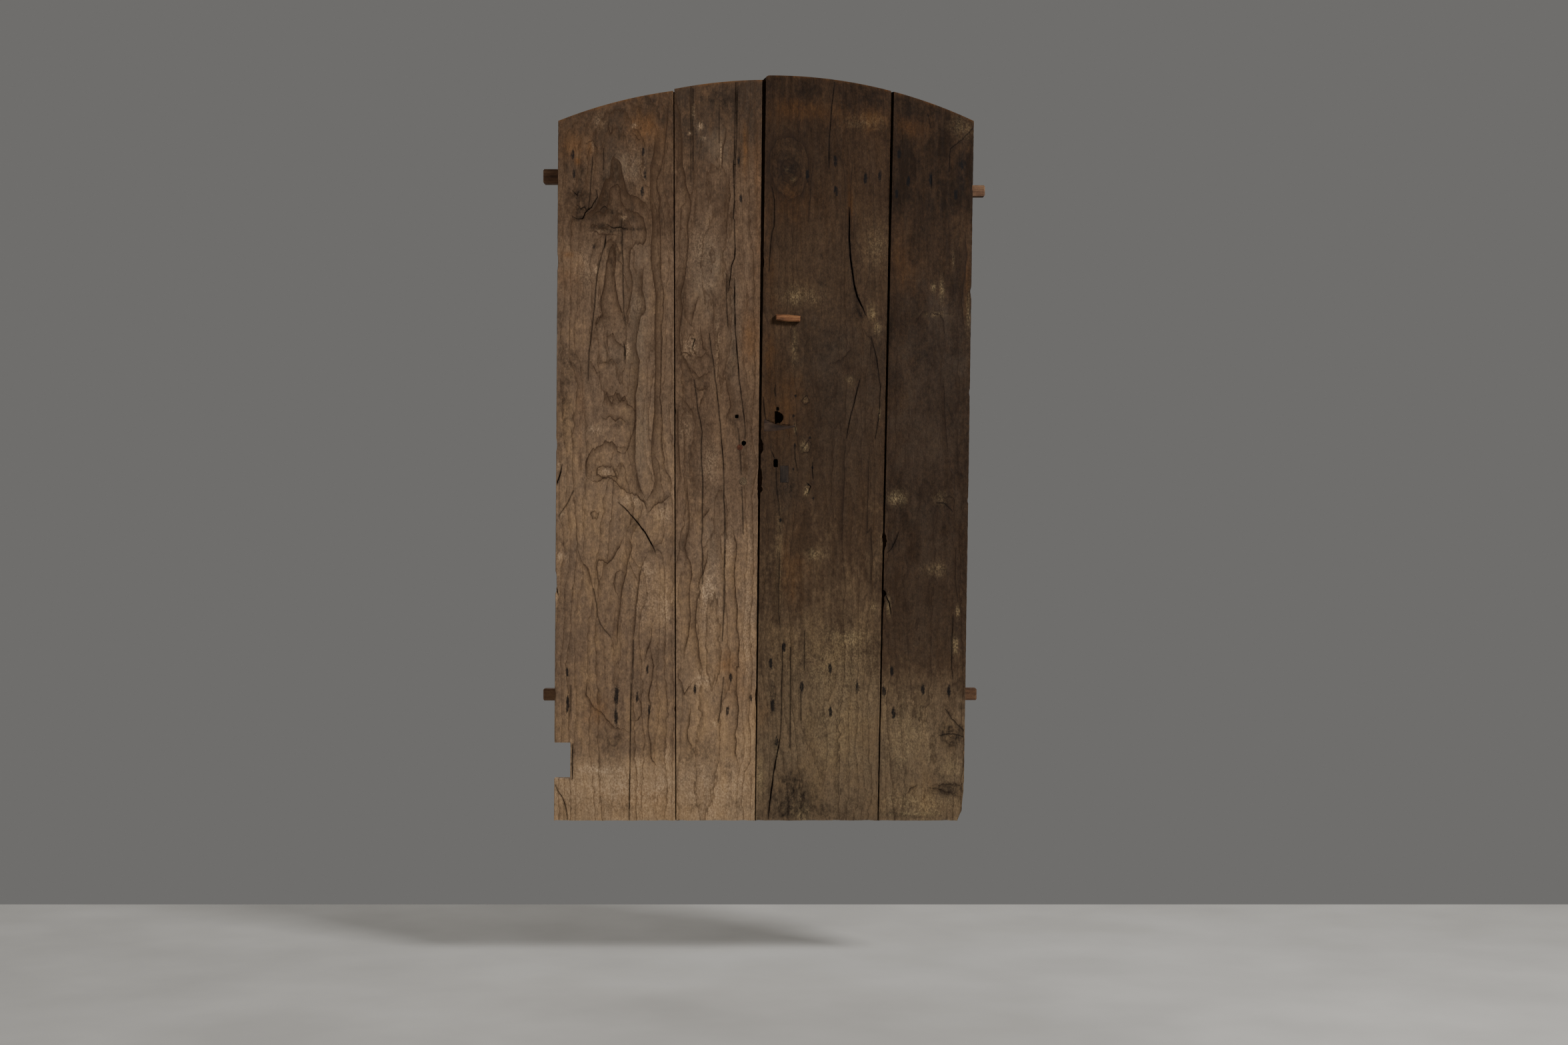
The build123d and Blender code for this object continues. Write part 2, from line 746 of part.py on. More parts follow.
# Turn latch
def latch_toggle():
    """A hand-cut button, thicker in the middle, on a spindle that is squared where the bar sits."""
    half_length = toggle_length / 2
    half = toggle_height / 2
    half_end = toggle_end_height / 2
    y0 = -toggle_face_gap - toggle_thickness
    button = polygon([(-half_length, -half_end), (0, -half), (half_length, -half_end),
                      (half_length, half_end), (0, half), (-half_length, half_end)], y0, -toggle_face_gap)
    button = chamfer(button.faces().sort_by(Axis.Y)[0].edges(), toggle_bevel)
    button = Pos(latch_x, 0, latch_z) * Rot(0, toggle_tilt, 0) * button
    spindle = rod(latch_x, latch_z, spindle_diameter, -toggle_face_gap, bar_front)
    half_square = spindle_square / 2
    square = block(latch_x - half_square, latch_x + half_square, bar_front, spindle_back,
                   latch_z - half_square, latch_z + half_square)
    return button + spindle + square - latch_pin_hole()


def latch_pin_hole():
    return Pos(latch_x, (bar_back + spindle_back) / 2, latch_z) * Cylinder(latch_pin_diameter / 2, bar_height)


def latch_pin():
    """A whittled pin through the spindle's tail, behind the bar."""
    length = spindle_square + 2 * latch_pin_overhang
    return Pos(latch_x, (bar_back + spindle_back) / 2, latch_z) * Cylinder(latch_pin_diameter / 2, length)


def latch_bar():
    bar = block(latch_x - bar_left_reach, latch_x + bar_right_reach, bar_front, bar_back,
                latch_z - bar_height / 2, latch_z + bar_height / 2)
    bar = chamfer(bar.faces().sort_by(Axis.Y)[-1].edges(), bar_bevel)
    half = spindle_square / 2 + square_clearance
    return bar - block(latch_x - half, latch_x + half, bar_front - past, bar_back + past,
                       latch_z - half, latch_z + half)


def keeper_nail_places():
    foot_middle = keeper_shelf - keeper_foot_height / 2
    return [(keeper_left + share * keeper_length, foot_middle) for share in (0.25, 0.75)]


def latch_keeper():
    """A carved hook: the bar rests on its shelf, behind its lip, and lifts out upwards."""
    z0 = keeper_shelf - keeper_foot_height
    right = keeper_left + keeper_length
    foot = block(keeper_left, right, back_face, keeper_back, z0, keeper_shelf)
    lip = block(keeper_left, right, keeper_lip_front, keeper_back, z0, keeper_shelf + keeper_lip_rise)
    hook = foot + lip
    hook = chamfer(hook.faces().sort_by(Axis.Y)[-1].edges(), keeper_bevel)
    return hook - latch_keeper_nails()


def latch_keeper_nails():
    return [block_nail(x, z, keeper_back, lock_nail_bite) for x, z in keeper_nail_places()]


# Stock lock
def lock_case():
    """A solid block hollowed from the front for the key's sweep, the bolt and its spring."""
    case = block(lock_left, lock_right, back_face, lock_back, lock_foot, lock_top)
    case = chamfer(case.faces().sort_by(Axis.Y)[-1].edges(), lock_bevel)
    case -= rod(keyhole_x, keyhole_z, 2 * key_pocket_radius, back_face - past, back_face + key_pocket_depth)
    case -= bolt_groove(lock_left - past, lock_right + past)
    side = spring_pocket_side
    spring_foot = bolt_foot - spring_gap - spring_rise - spring_thickness
    case -= block(spring_left - side, spring_right + side, back_face, bolt_back + bolt_clearance,
                  spring_foot, bolt_foot)
    return case - lock_nails()


def lock_nail_places():
    left = lock_left + lock_nail_inset
    right = lock_right - lock_nail_inset
    low = lock_foot + lock_nail_inset
    high = lock_top - lock_nail_inset
    return [(left, low), (right, low), (right, high), (right - lock_nail_step, high)]


def lock_nails():
    return [block_nail(x, z, lock_back, lock_nail_bite) for x, z in lock_nail_places()]


def lock_bolt():
    """A forged bar, drawn back into the case, with a notch in its top edge for the key."""
    bolt = block(lock_left, lock_left + bolt_length, bolt_front, bolt_back, bolt_foot, bolt_top)
    notch = keyhole_x + bolt_notch_offset
    return bolt - block(notch, notch + bolt_notch_width, bolt_front - past, bolt_back + past,
                        bolt_top - bolt_notch_depth, bolt_top + past)


def lock_spring():
    """A bowed flat spring. Its ends stand in the case and its middle bears up against the bolt."""
    y0 = bolt_front + (bolt_thickness - spring_breadth) / 2
    middle = (spring_left + spring_right) / 2
    top = bolt_foot - spring_gap
    end_top = top - spring_rise
    outer = [Vector(spring_left, y0, end_top), Vector(middle, y0, top), Vector(spring_right, y0, end_top)]
    drop = Vector(0, 0, -spring_thickness)
    inner = [point + drop for point in outer]
    sides = [
        ThreePointArc(*outer),
        Line(outer[2], inner[2]),
        ThreePointArc(*inner[::-1]),
        Line(inner[0], outer[0]),
    ]
    return upright(sides, y0, y0 + spring_breadth)


def lock_keeper():
    keeper = block(lock_keeper_left, lock_keeper_right, back_face, lock_keeper_back,
                   lock_keeper_foot, lock_keeper_top)
    keeper = chamfer(keeper.faces().sort_by(Axis.Y)[-1].edges(), lock_keeper_bevel)
    keeper -= bolt_groove(lock_keeper_right - lock_mortise_depth, lock_keeper_right + past)
    return keeper - lock_keeper_nails()


def lock_keeper_nails():
    left = lock_keeper_left + lock_nail_inset
    right = lock_keeper_right - lock_nail_inset
    low = lock_keeper_foot + lock_nail_inset
    high = lock_keeper_top - lock_nail_inset
    return [block_nail(x, z, lock_keeper_back, lock_nail_bite) for x in (left, right) for z in (low, high)]


# Peg and plug
def left_peg():
    return rod(peg_x, peg_z, peg_diameter, 0, back_face)


def left_plug():
    return rod(plug_x, plug_z, plug_diameter, 0, plug_depth)


def save(name, shape):
    """Write one node, moved so that the part's middle is at X and Y zero."""
    solids = shape if isinstance(shape, list) else [shape]
    placed = [to_middle * solid for piece in solids for solid in piece.solids()]
    export_step(placed[0] if len(placed) == 1 else Compound(children=placed), f"parts/{name}.step")


os.makedirs("parts", exist_ok=True)
save("left_outer_plank", left_outer_plank())
save("left_inner_plank", left_inner_plank())
save("right_inner_plank", right_inner_plank())
save("right_outer_plank", right_outer_plank())
save("left_upper_ledge", left_upper_ledge())
save("left_lower_ledge", left_lower_ledge())
save("right_upper_ledge", right_upper_ledge())
save("right_lower_ledge", right_lower_ledge())
save("left_upper_nails", nails_in["left_outer", "upper"] + nails_in["left_inner", "upper"])
save("left_lower_nails", nails_in["left_outer", "lower"] + nails_in["left_inner", "lower"])
save("right_upper_nails", nails_in["right_inner", "upper"] + nails_in["right_outer", "upper"])
save("right_lower_nails", nails_in["right_inner", "lower"] + nails_in["right_outer", "lower"])
save("left_peg", left_peg())
save("left_plug", left_plug())
save("keyhole_patch", keyhole_patch())
save("slot_patch", slot_patch())
save("latch_toggle", latch_toggle())
save("latch_bar", latch_bar())
save("latch_pin", latch_pin())
save("latch_keeper", latch_keeper())
save("latch_keeper_nails", latch_keeper_nails())
save("lock_case", lock_case())
save("lock_bolt", lock_bolt())
save("lock_spring", lock_spring())
save("lock_nails", lock_nails())
save("lock_keeper", lock_keeper())
save("lock_keeper_nails", lock_keeper_nails())
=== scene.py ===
import math

import bpy
import numpy as np
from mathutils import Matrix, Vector


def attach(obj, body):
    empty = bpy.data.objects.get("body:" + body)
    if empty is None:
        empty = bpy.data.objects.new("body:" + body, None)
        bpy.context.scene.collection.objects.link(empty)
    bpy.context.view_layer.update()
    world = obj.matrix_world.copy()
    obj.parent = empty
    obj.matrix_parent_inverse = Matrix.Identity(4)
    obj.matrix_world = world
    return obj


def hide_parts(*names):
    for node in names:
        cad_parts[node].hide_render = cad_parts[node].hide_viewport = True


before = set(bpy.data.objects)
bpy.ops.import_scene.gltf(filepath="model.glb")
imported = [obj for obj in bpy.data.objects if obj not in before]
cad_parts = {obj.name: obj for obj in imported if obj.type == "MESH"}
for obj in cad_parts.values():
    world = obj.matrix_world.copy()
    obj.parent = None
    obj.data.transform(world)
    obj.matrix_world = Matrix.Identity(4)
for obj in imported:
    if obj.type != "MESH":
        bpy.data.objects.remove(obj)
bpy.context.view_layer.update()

# Sizes that the planks share, in millimetres. X runs to the right, Y to the wall, Z up.
mm = 0.001
crown_height = 2002.0
arch_radius = 1280.0
plank_thickness = 36.0
front_face = -36.0
rebate_width = 14.0
lip_thickness = 17.0
lip_play = 0.4
arris_wear = 2.3
edge_fade = 150.0  # how far in from a worn edge the face's points follow it
rim_catch = 1.5  # points this near a hole's outline are drawn onto it
wall_width = 4.2  # points this far inside the outline make the hole's wall
notch_clear = 1.5  # rows this near the notch's corners give way to the corners' own rows
notch_corner = 0.02
dent_depth, dent_half_width, dent_half_height = 0.95, 8, 12
cover_half_width, cover_half_height = 12, 16
line_width = 2.0
line_reach = 12.0  # how far from a line or a crack its distance still counts

# How fine the planks' skins are, in millimetres and in points
row_step = 3.5
column_step = 2.35
back_columns = 12
behind_lip = 2
bend_start = 0.72  # share of the height above which the rows bend towards the arch
sharp_angle = math.radians(40)

# Camera, in metres: level, square to the leaves and 1.2 above the floor, with a normal lens
floor_height = -0.389
camera_data = bpy.data.cameras.new("camera")
camera_data.lens = 50.0
camera_data.sensor_width = 36.0
camera = bpy.data.objects.new("camera", camera_data)
camera.location = (0.054, -5.883, 0.801)
camera.rotation_euler = (math.radians(90), 0, 0)
bpy.context.scene.collection.objects.link(camera)
bpy.context.scene.camera = camera


def linear(hex_colour):
    """An sRGB hex colour as linear red, green, blue and alpha."""
    parts = [int(hex_colour[i:i + 2], 16) / 255 for i in (0, 2, 4)]
    return (*[p / 12.92 if p <= 0.04045 else ((p + 0.055) / 1.055) ** 2.4 for p in parts], 1.0)


def add(tree, kind, inputs=None, out=None, stops=(), **settings):
    """Adds one shader node with its settings, sets or links its inputs, and gives its output."""
    node = tree.nodes.new("ShaderNode" + kind)
    for name, value in settings.items():
        setattr(node, name, value)
    if stops:
        points = node.color_ramp.elements
        points[0].position, points[-1].position = stops[0][0], stops[-1][0]
        for place, _ in stops[1:-1]:
            points.new(place)
        for point, (_, tone) in zip(points, stops):
            point.color = tone if isinstance(tone, tuple) else (tone, tone, tone, 1.0)
    for name, value in (inputs or {}).items():
        named = [s for s in node.inputs if s.enabled and s.name == name]
        socket = named[0] if named else node.inputs[name]
        if isinstance(value, bpy.types.NodeSocket):
            tree.links.new(value, socket)
        else:
            socket.default_value = value
    shown = [s for s in node.outputs if s.enabled]
    return next((s for s in shown if s.name == out), shown[0] if shown else None)


def drift(x, z, width, length, seed):
    """Smooth seeded unevenness from -1 to 1, with features about width by length."""
    knots = np.random.default_rng(seed).uniform(-1, 1, (64, 64))
    u, v = x / width + 31.7, z / length + 17.3
    i, j = np.floor(u).astype(int), np.floor(v).astype(int)
    s, t = u - i, v - j
    s, t = s * s * (3 - 2 * s), t * t * (3 - 2 * t)
    i, j, i_next, j_next = i % 64, j % 64, (i + 1) % 64, (j + 1) % 64
    low = knots[i, j] * (1 - s) + knots[i_next, j] * s
    high = knots[i, j_next] * (1 - s) + knots[i_next, j_next] * s
    return low * (1 - t) + high * t


def eased(z, places):
    """A value that eases from place to place up the plank. Places are height and value."""
    heights, values = (np.array(side, float) for side in zip(*sorted(places)))
    k = np.clip(np.searchsorted(heights, z) - 1, 0, len(heights) - 2)
    t = np.clip((z - heights[k]) / (heights[k + 1] - heights[k]), 0, 1)
    return values[k] + (values[k + 1] - values[k]) * t * t * (3 - 2 * t)


def patches(x, z, places, seed):
    """Soft uneven areas on a face. Each is x, z, half width, half height and strength."""
    sideways = 0.6 * drift(x, z, 22, 40, seed) + 0.5 * drift(x, z, 6, 11, seed + 1)
    upwards = 0.6 * drift(x, z, 26, 44, seed + 2) + 0.5 * drift(x, z, 7, 12, seed + 3)
    total = np.zeros_like(x)
    for centre, height, half_width, half_height, strength in places:
        across = (x - centre) / half_width + 0.55 * sideways
        up = (z - height) / half_height + 0.55 * upwards
        total += strength * np.exp(-across**2 - up**2)
    return total


def trails(x, z, lines, seed, slip):
    """Lines that run any way over a face: how far to the side the nearest lies, half its width, its soft side.

    Lines are width, reach of the soft side and places. The soft side lies to the right of the way along
    the places, or to the left where its reach is below zero. slip is how far worn fibres shake the line,
    most where it crosses them. Away from lines the half width is far below zero, so nothing is drawn there.
    """
    moved_x = x + slip * (0.9 * drift(x, z, 22, 36, seed) + 0.4 * drift(x, z, 7, 12, seed + 1))
    moved_z = z + slip * (2.6 * drift(x, z, 5, 60, seed + 2) + 1.6 * drift(x, z, 12, 30, seed + 3))
    side = np.full_like(x, line_reach)
    half = np.full_like(x, -line_reach)
    soft = np.zeros_like(x)
    uneven = 0.75 + 0.45 * drift(x, z, 40, 26, seed + 4)
    for width, reach, places in lines:
        steps = list(zip(places, places[1:]))
        spans = [math.dist(start, end) for start, end in steps]
        closed = places[0] == places[-1]
        away = np.full_like(x, 1e3)
        signed = np.full_like(x, 1e3)
        along = np.zeros_like(x)
        done = 0.0
        for (start, end), span in zip(steps, spans):
            run_x, run_z = (end[0] - start[0]) / span, (end[1] - start[1]) / span
            off_x, off_z = moved_x - start[0], moved_z - start[1]
            t = np.clip(off_x * run_x + off_z * run_z, 0, span)
            gap = np.hypot(off_x - t * run_x, off_z - t * run_z)
            nearer = gap < away
            away = np.where(nearer, gap, away)
            signed = np.where(nearer, gap * np.sign(off_x * run_z - off_z * run_x), signed)
            along = np.where(nearer, done + t, along)
            done += span
        taper = np.clip(np.minimum(along, done - along) / min(30, 0.3 * done), 0, 1)
        if closed:
            taper = 1.0
        here = width / 2 * (0.25 + 0.75 * taper) * uneven - 3 * np.maximum(away - 4, 0)
        nearest = away - here < np.abs(side) - half
        side = np.where(nearest, signed, side)
        half = np.where(nearest, here, half)
        shaded = signed * np.sign(reach) if reach else signed * 0 - 50
        soft_side, sharp_side = np.exp(-shaded / max(abs(reach), 1)), np.exp(np.minimum(shaded, 0) / 1.1)
        soft = np.maximum(soft, taper * np.where(shaded > 0, soft_side, sharp_side))
    return np.clip(side, -line_reach, line_reach), np.maximum(half, -line_reach), soft


# Outlines of holes, as distance outside the outline in millimetres
def oval(x, z, centre, half_width, half_height):
    u, v = (x - centre[0]) / half_width, (z - centre[1]) / half_height
    return (np.sqrt(u * u + v * v) - 1) * min(half_width, half_height)


def oblong(x, z, centre, half_width, half_height):
    return np.maximum(np.abs(x - centre[0]) - half_width, np.abs(z - centre[1]) - half_height)


def key_shape(x, z, centre, half_width, half_height):
    """Straight on the left and round on the right."""
    left = centre[0] - half_width
    round_side = oval(x, z, (left, centre[1]), 2 * half_width, half_height)
    return np.maximum(left - x, round_side)


def crescent(x, z, left, right, top, foot, right_top, right_foot):
    """The let-in repair under the keyhole: tall on the left, running out to the right."""
    u = np.clip((x - left) / (right - left), 0, 1)
    sag = (1 - u) ** 2
    high = right_top + (top - right_top) * sag
    low = right_foot + (foot - right_foot) * (1 - u) ** 1.5
    return np.maximum(np.maximum(left - x, x - right), np.maximum(z - high, low - z))


def open_holes(x, y, z, holes):
    """Presses each hole into the face and draws the nearest points to its rim. Gives how dark each point is
    painted, which is painted shade inside each hole, set by the hole's last number.
    """
    hole_shade = np.zeros_like(x)
    for outline, place, depth, shade in holes:
        away = outline(x, z, *place)
        slope_x = (outline(x + 0.2, z, *place) - outline(x - 0.2, z, *place)) / 0.4
        slope_z = (outline(x, z + 0.2, *place) - outline(x, z - 0.2, *place)) / 0.4
        rim = np.abs(away) < rim_catch
        inner = (away <= -rim_catch) & (away > -wall_width)
        shift = np.where(rim, away, np.where(inner, away + 0.35, 0))
        x -= shift * slope_x
        z -= shift * slope_z
        inside = away <= -rim_catch
        y[inside] = np.maximum(y[inside], front_face + depth)
        hole_shade[inside] = np.maximum(hole_shade[inside], shade)
    return hole_shade


def chipped(z, chips, seed):
    """How far an edge has worn or broken back. Chips are height, half length and depth."""
    back = 0.2 + 0.35 * drift(z, z * 0, 17, 1, seed) + 0.25 * drift(z, z * 0, 5, 1, seed + 1)
    for height, half_length, depth in chips:
        share = np.clip(1 - ((z - height) / half_length) ** 2, 0, 1)
        rough = 1 + 0.35 * drift(z, z * 0 + height, 4, 1, seed + 2)
        back = np.maximum(back, depth * share**0.6 * rough)
    return back


def side_profile(joint):
    """A plank's edge from front to back, as steps out from the edge and back from the front face.

    The last two, behind_lip, are the part that the end face joins to the back.
    """
    loose_lip = lip_thickness + lip_play
    steps = {"tongue": [(0.0, loose_lip), (rebate_width, loose_lip), (rebate_width, plank_thickness)],
             "rebate": [(0.0, lip_thickness), (-rebate_width, lip_thickness), (-rebate_width, plank_thickness)],
             "plain": [(0.0, 12.0), (0.0, 24.0), (0.0, 35.2), (-0.8, plank_thickness)]}
    return [(-0.95, 0.35), (-0.3, 1.05), (0.0, arris_wear)] + steps[joint]


def end_face(near, far, x_of, upwards):
    """Triangles across a plank's end, between its front row and back row of points, left to right."""
    made = []
    i = j = 0
    while i < len(near) - 1 or j < len(far) - 1:
        go_near = j == len(far) - 1 or (i < len(near) - 1 and x_of[near[i + 1]] <= x_of[far[j + 1]])
        face = (near[i], near[i + 1], far[j]) if go_near else (near[i], far[j + 1], far[j])
        made.append(face if upwards else face[::-1])
        i, j = (i + 1, j) if go_near else (i, j + 1)
    return made


def plank(name, node, materials, left, right, top, joints, chips, holes, look, foot_loss=(), notch=None):
    """One plank as a dense closed skin: worn face, chipped edges, rebates and end grain.

    left and right are X at the foot and lean. joints and chips are the left edge's and the right edge's.
    Holes are an outline, its place, how deep it goes and how dark it is painted, which is painted shade
    inside it. look gives each point's grain and marks. foot_loss is height and how far the right edge has
    broken back. notch is foot, head and depth.
    """
    heights = np.linspace(0, crown_height, int(crown_height / row_step))
    if notch:
        foot, head, depth = notch
        near_cut = (np.abs(heights - foot) < notch_clear) | (np.abs(heights - head) < notch_clear)
        cuts = [foot - notch_corner, foot + notch_corner, head - notch_corner, head + notch_corner]
        heights = np.sort(np.concatenate([heights[~near_cut], cuts]))
    h = heights[:, None]
    bend = np.clip((h / crown_height - bend_start) / (1 - bend_start), 0, 1) ** 1.5

    def level(x):
        return h + bend * (top(x) - crown_height)

    def edge(line):
        x = line[0] + line[1] * h / crown_height
        for _ in range(4):
            x = line[0] + line[1] * level(x) / crown_height
        return x

    left_x, right_x = edge(left), edge(right)
    left_back = chipped(level(left_x), chips[0], 11)
    right_back = chipped(level(right_x), chips[1], 23)
    if notch:
        left_back = np.where((h > foot) & (h < head), depth + 0.4 * drift(h, h * 0, 9, 1, 5), left_back)
    if foot_loss:
        right_back = np.maximum(right_back, np.interp(h, *zip(*foot_loss)) + 0.8 * drift(h, h * 0, 8, 1, 7))
    columns = int((right[0] - left[0]) / column_step)
    u = np.linspace(0, 1, columns)[None, :]
    span = right_x - left_x - 2 * arris_wear
    x = left_x + arris_wear + u * span
    x = x + left_back * np.clip(1 - u * span / edge_fade, 0, 1)
    x = x - right_back * np.clip(1 - (1 - u) * span / edge_fade, 0, 1)
    z = level(x)
    uneven_foot = 1.1 + 0.9 * drift(x, x * 0, 21, 1, 31) + 0.4 * drift(x, x * 0, 5, 1, 32)
    z = z + uneven_foot * np.clip(1 - h / 30, 0, 1)
    hollow = 0.45 + 0.3 * drift(x, z, 80, 300, 41) + 0.12 * drift(x, z, 18, 90, 42)
    y = front_face + np.clip(hollow, 0.05, 2) + look["dents"](x, z)
    y = np.minimum(y, front_face + 0.3 + 2 * (1 - look["nail_heads"](x, z)))
    hole_shade = open_holes(x, y, z, holes)

    sides = []
    for joint, worn_edge, way in ((joints[0], left_x + left_back, -1), (joints[1], right_x - right_back, 1)):
        steps = [(worn_edge + way * out, front_face + back) for out, back in side_profile(joint)]
        sides.append([(px, py + px * 0, level(px)) for px, py in steps])
    left_side, right_side = sides
    share = np.linspace(0, 1, back_columns + 2)[None, 1:-1]
    px = right_side[-1][0] + (left_side[-1][0] - right_side[-1][0]) * share
    rings = [(x, y, z)] + right_side + [(px, px * 0, level(px))] + left_side[::-1]

    gx, gy, gz = (np.concatenate([part[k] for part in rings], axis=1) for k in range(3))
    rows, around = gx.shape
    index = np.arange(rows * around).reshape(rows, around)
    ahead = np.roll(index, -1, axis=1)
    quads = np.stack([index[:-1], ahead[:-1], ahead[1:], index[1:]], axis=-1).reshape(-1, 4)
    ring = list(range(around))
    left_lip, right_lip = around - len(left_side) + behind_lip, columns + len(right_side) - behind_lip
    near, far = ring[left_lip:] + ring[:right_lip], ring[right_lip:left_lip][::-1]
    foot_faces = end_face(near, far, gx[0], False)
    top_row = (rows - 1) * around
    top_faces = [tuple(top_row + k for k in face) for face in end_face(near, far, gx[-1], True)]

    points = np.stack([gx, gy, gz], axis=-1).reshape(-1, 3) * mm
    mesh = bpy.data.meshes.new(name)
    mesh.from_pydata(points.tolist(), [], quads.tolist() + foot_faces + top_faces)
    for material in materials:
        mesh.materials.append(material)
    ends = np.zeros(len(mesh.polygons), int)
    ends[len(quads):] = 1
    mesh.polygons.foreach_set("material_index", ends)
    mesh.shade_smooth()
    mesh.set_sharp_from_angle(angle=sharp_angle)

    on_face = np.zeros_like(gx, bool)
    on_face[:, :columns] = True
    marks = look["marks"](gx, gz)
    for mark in ("crack_half", "line_half"):
        marks[mark] = np.where(on_face, marks[mark], -line_reach)
    for mark in ("band", "iron", "soot", "pale", "warm", "grey"):
        marks[mark] = np.where(on_face, marks[mark], 0.25 * marks[mark])
    marks["rim"] = np.exp(-np.maximum(top(gx) - gz, 0) / 3.5) * (0.75 + 0.5 * drift(gx, gz, 14, 50, 61))
    # The holes' insides, darkened as painted shade by the amounts that open_holes gave
    marks["hole"] = np.zeros_like(gx)
    marks["hole"][:, :columns] = hole_shade
    for mark, value in marks.items():
        layer = mesh.attributes.new(mark, "FLOAT", "POINT")
        layer.data.foreach_set("value", value.astype(np.float32).ravel())

    piece = bpy.data.objects.new(name, mesh)
    bpy.context.scene.collection.objects.link(piece)
    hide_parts(node)
    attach(piece, "leaves")


def arched(centre, crown):
    """The arch over a plank, from its crown's X and height."""
    return lambda x: crown - arch_radius + np.sqrt(arch_radius**2 - (x - centre) ** 2)


def nail_stains(places, half_width, half_height, strength):
    """The blue-black iron stains round the nails: a dark heart and a soft smear up and down the grain."""
    hearts = [(x, z, half_width, half_height, 2.6) for x, z in places]
    return hearts + [(x, z, 2.2 * half_width, 2.2 * half_height, strength) for x, z in places]


def paired(numbers):
    """X and Z by turns, as points."""
    return list(zip(numbers[::2], numbers[1::2]))


def grained(pith, spacing, swells, knots, cracks, figure, heads, smudges, soot, pale, warm, grey, bleach, seed):
    """How a plank's figure and marks lie on its face.

    pith is height, X and depth of the tree's heart behind the face, which gives the faint growth rings.
    Swells lift the faint rings into closed loops. figure is the growth lines that stand out, each with its
    strength, the reach of its soft side, then X and Z by turns. A crack has its width, then X and Z by
    turns. Smudges are the iron stains round the nails. The last but one argument is heights and how light
    the wood is painted at each, from 0 under the arch to 1 at the foot: lighter towards the foot, and below
    zero near the top, where it is painted shade.
    """
    def marks(x, z):
        across = x.copy()
        for kx, kz, radius in knots:
            near = np.exp(-((x - kx) / (1.5 * radius)) ** 2 - ((z - kz) / (2.6 * radius)) ** 2)
            across += 0.55 * (kx - x) * near
        across += 3.0 * drift(x, z, 60, 260, seed) + 1.2 * drift(x, z, 20, 90, seed + 1)
        heart_x = eased(z, [(height, px) for height, px, _ in pith])
        heart_depth = eased(z, [(height, depth) for height, _, depth in pith])
        rings = np.sqrt((across - heart_x) ** 2 + heart_depth**2) / spacing
        for sx, sz, half_width, half_height, lift in swells:
            rings += lift * np.exp(-((x - sx) / half_width) ** 2 - ((z - sz) / half_height) ** 2)
        for kx, kz, radius in knots:
            rings += 2.2 * np.exp(-np.sqrt(((x - kx) / radius) ** 2 + ((z - kz) / (1.6 * radius)) ** 2))
        rings += 0.55 * drift(x, z, 30, 110, seed + 2) + 0.16 * drift(x, z, 9, 17, seed + 3)
        plain_cracks = [(width, 0, paired(places)) for width, *places in cracks]
        crack_side, crack_half, _ = trails(x, z, plain_cracks, seed + 4, 0.5)
        scaled = [(line_width * strength, reach, paired(places)) for strength, reach, *places in figure]
        line_side, line_half, band = trails(x, z, scaled, seed + 10, 1.4)
        made = {"across": across * mm, "rings": rings, "crack_side": crack_side, "crack_half": crack_half,
                "line_side": line_side, "line_half": line_half, "band": band, "bleach": eased(z, bleach)}
        for mark, places, step in (("iron", smudges, 6), ("soot", soot, 7), ("pale", pale, 8),
                                   ("warm", warm, 9), ("grey", grey, 20)):
            made[mark] = np.clip(patches(x, z, places, seed + step), 0, 1)
        return made

    def dents(x, z):
        depth = np.zeros_like(x)
        for px, pz, _, _, _ in smudges:
            fall = ((x - px) / dent_half_width) ** 4 + ((z - pz) / dent_half_height) ** 4
            depth = np.maximum(depth, dent_depth * np.exp(-fall))
        return depth

    def nail_heads(x, z):
        """One over the nail heads, where the wood has closed over the iron, and zero away from them."""
        cover = np.zeros_like(x)
        for head_x, head_z in heads:
            near = np.maximum(np.abs(x - head_x) / cover_half_width, np.abs(z - head_z) / cover_half_height)
            cover = np.maximum(cover, np.clip(2.5 * (1.4 - near), 0, 1))
        return cover

    return {"marks": marks, "dents": dents, "nail_heads": nail_heads}


# How a Mix node darkens or lightens a colour by a pattern
multiplied = {"data_type": "RGBA", "blend_type": "MULTIPLY"}


def blank_material(name):
    """A new material with an empty node tree."""
    material = bpy.data.materials.new(name)
    material.use_nodes = True
    material.node_tree.nodes.clear()
    return material, material.node_tree


def surfaced(tree, height, strength, depth, looks):
    """Ends a material: relief of a depth in millimetres, on a surface of the given looks."""
    relief = add(tree, "Bump", {"Strength": strength, "Distance": depth * mm, "Height": height})
    surface = add(tree, "BsdfPrincipled", {**looks, "Normal": relief})
    add(tree, "OutputMaterial", {"Surface": surface})


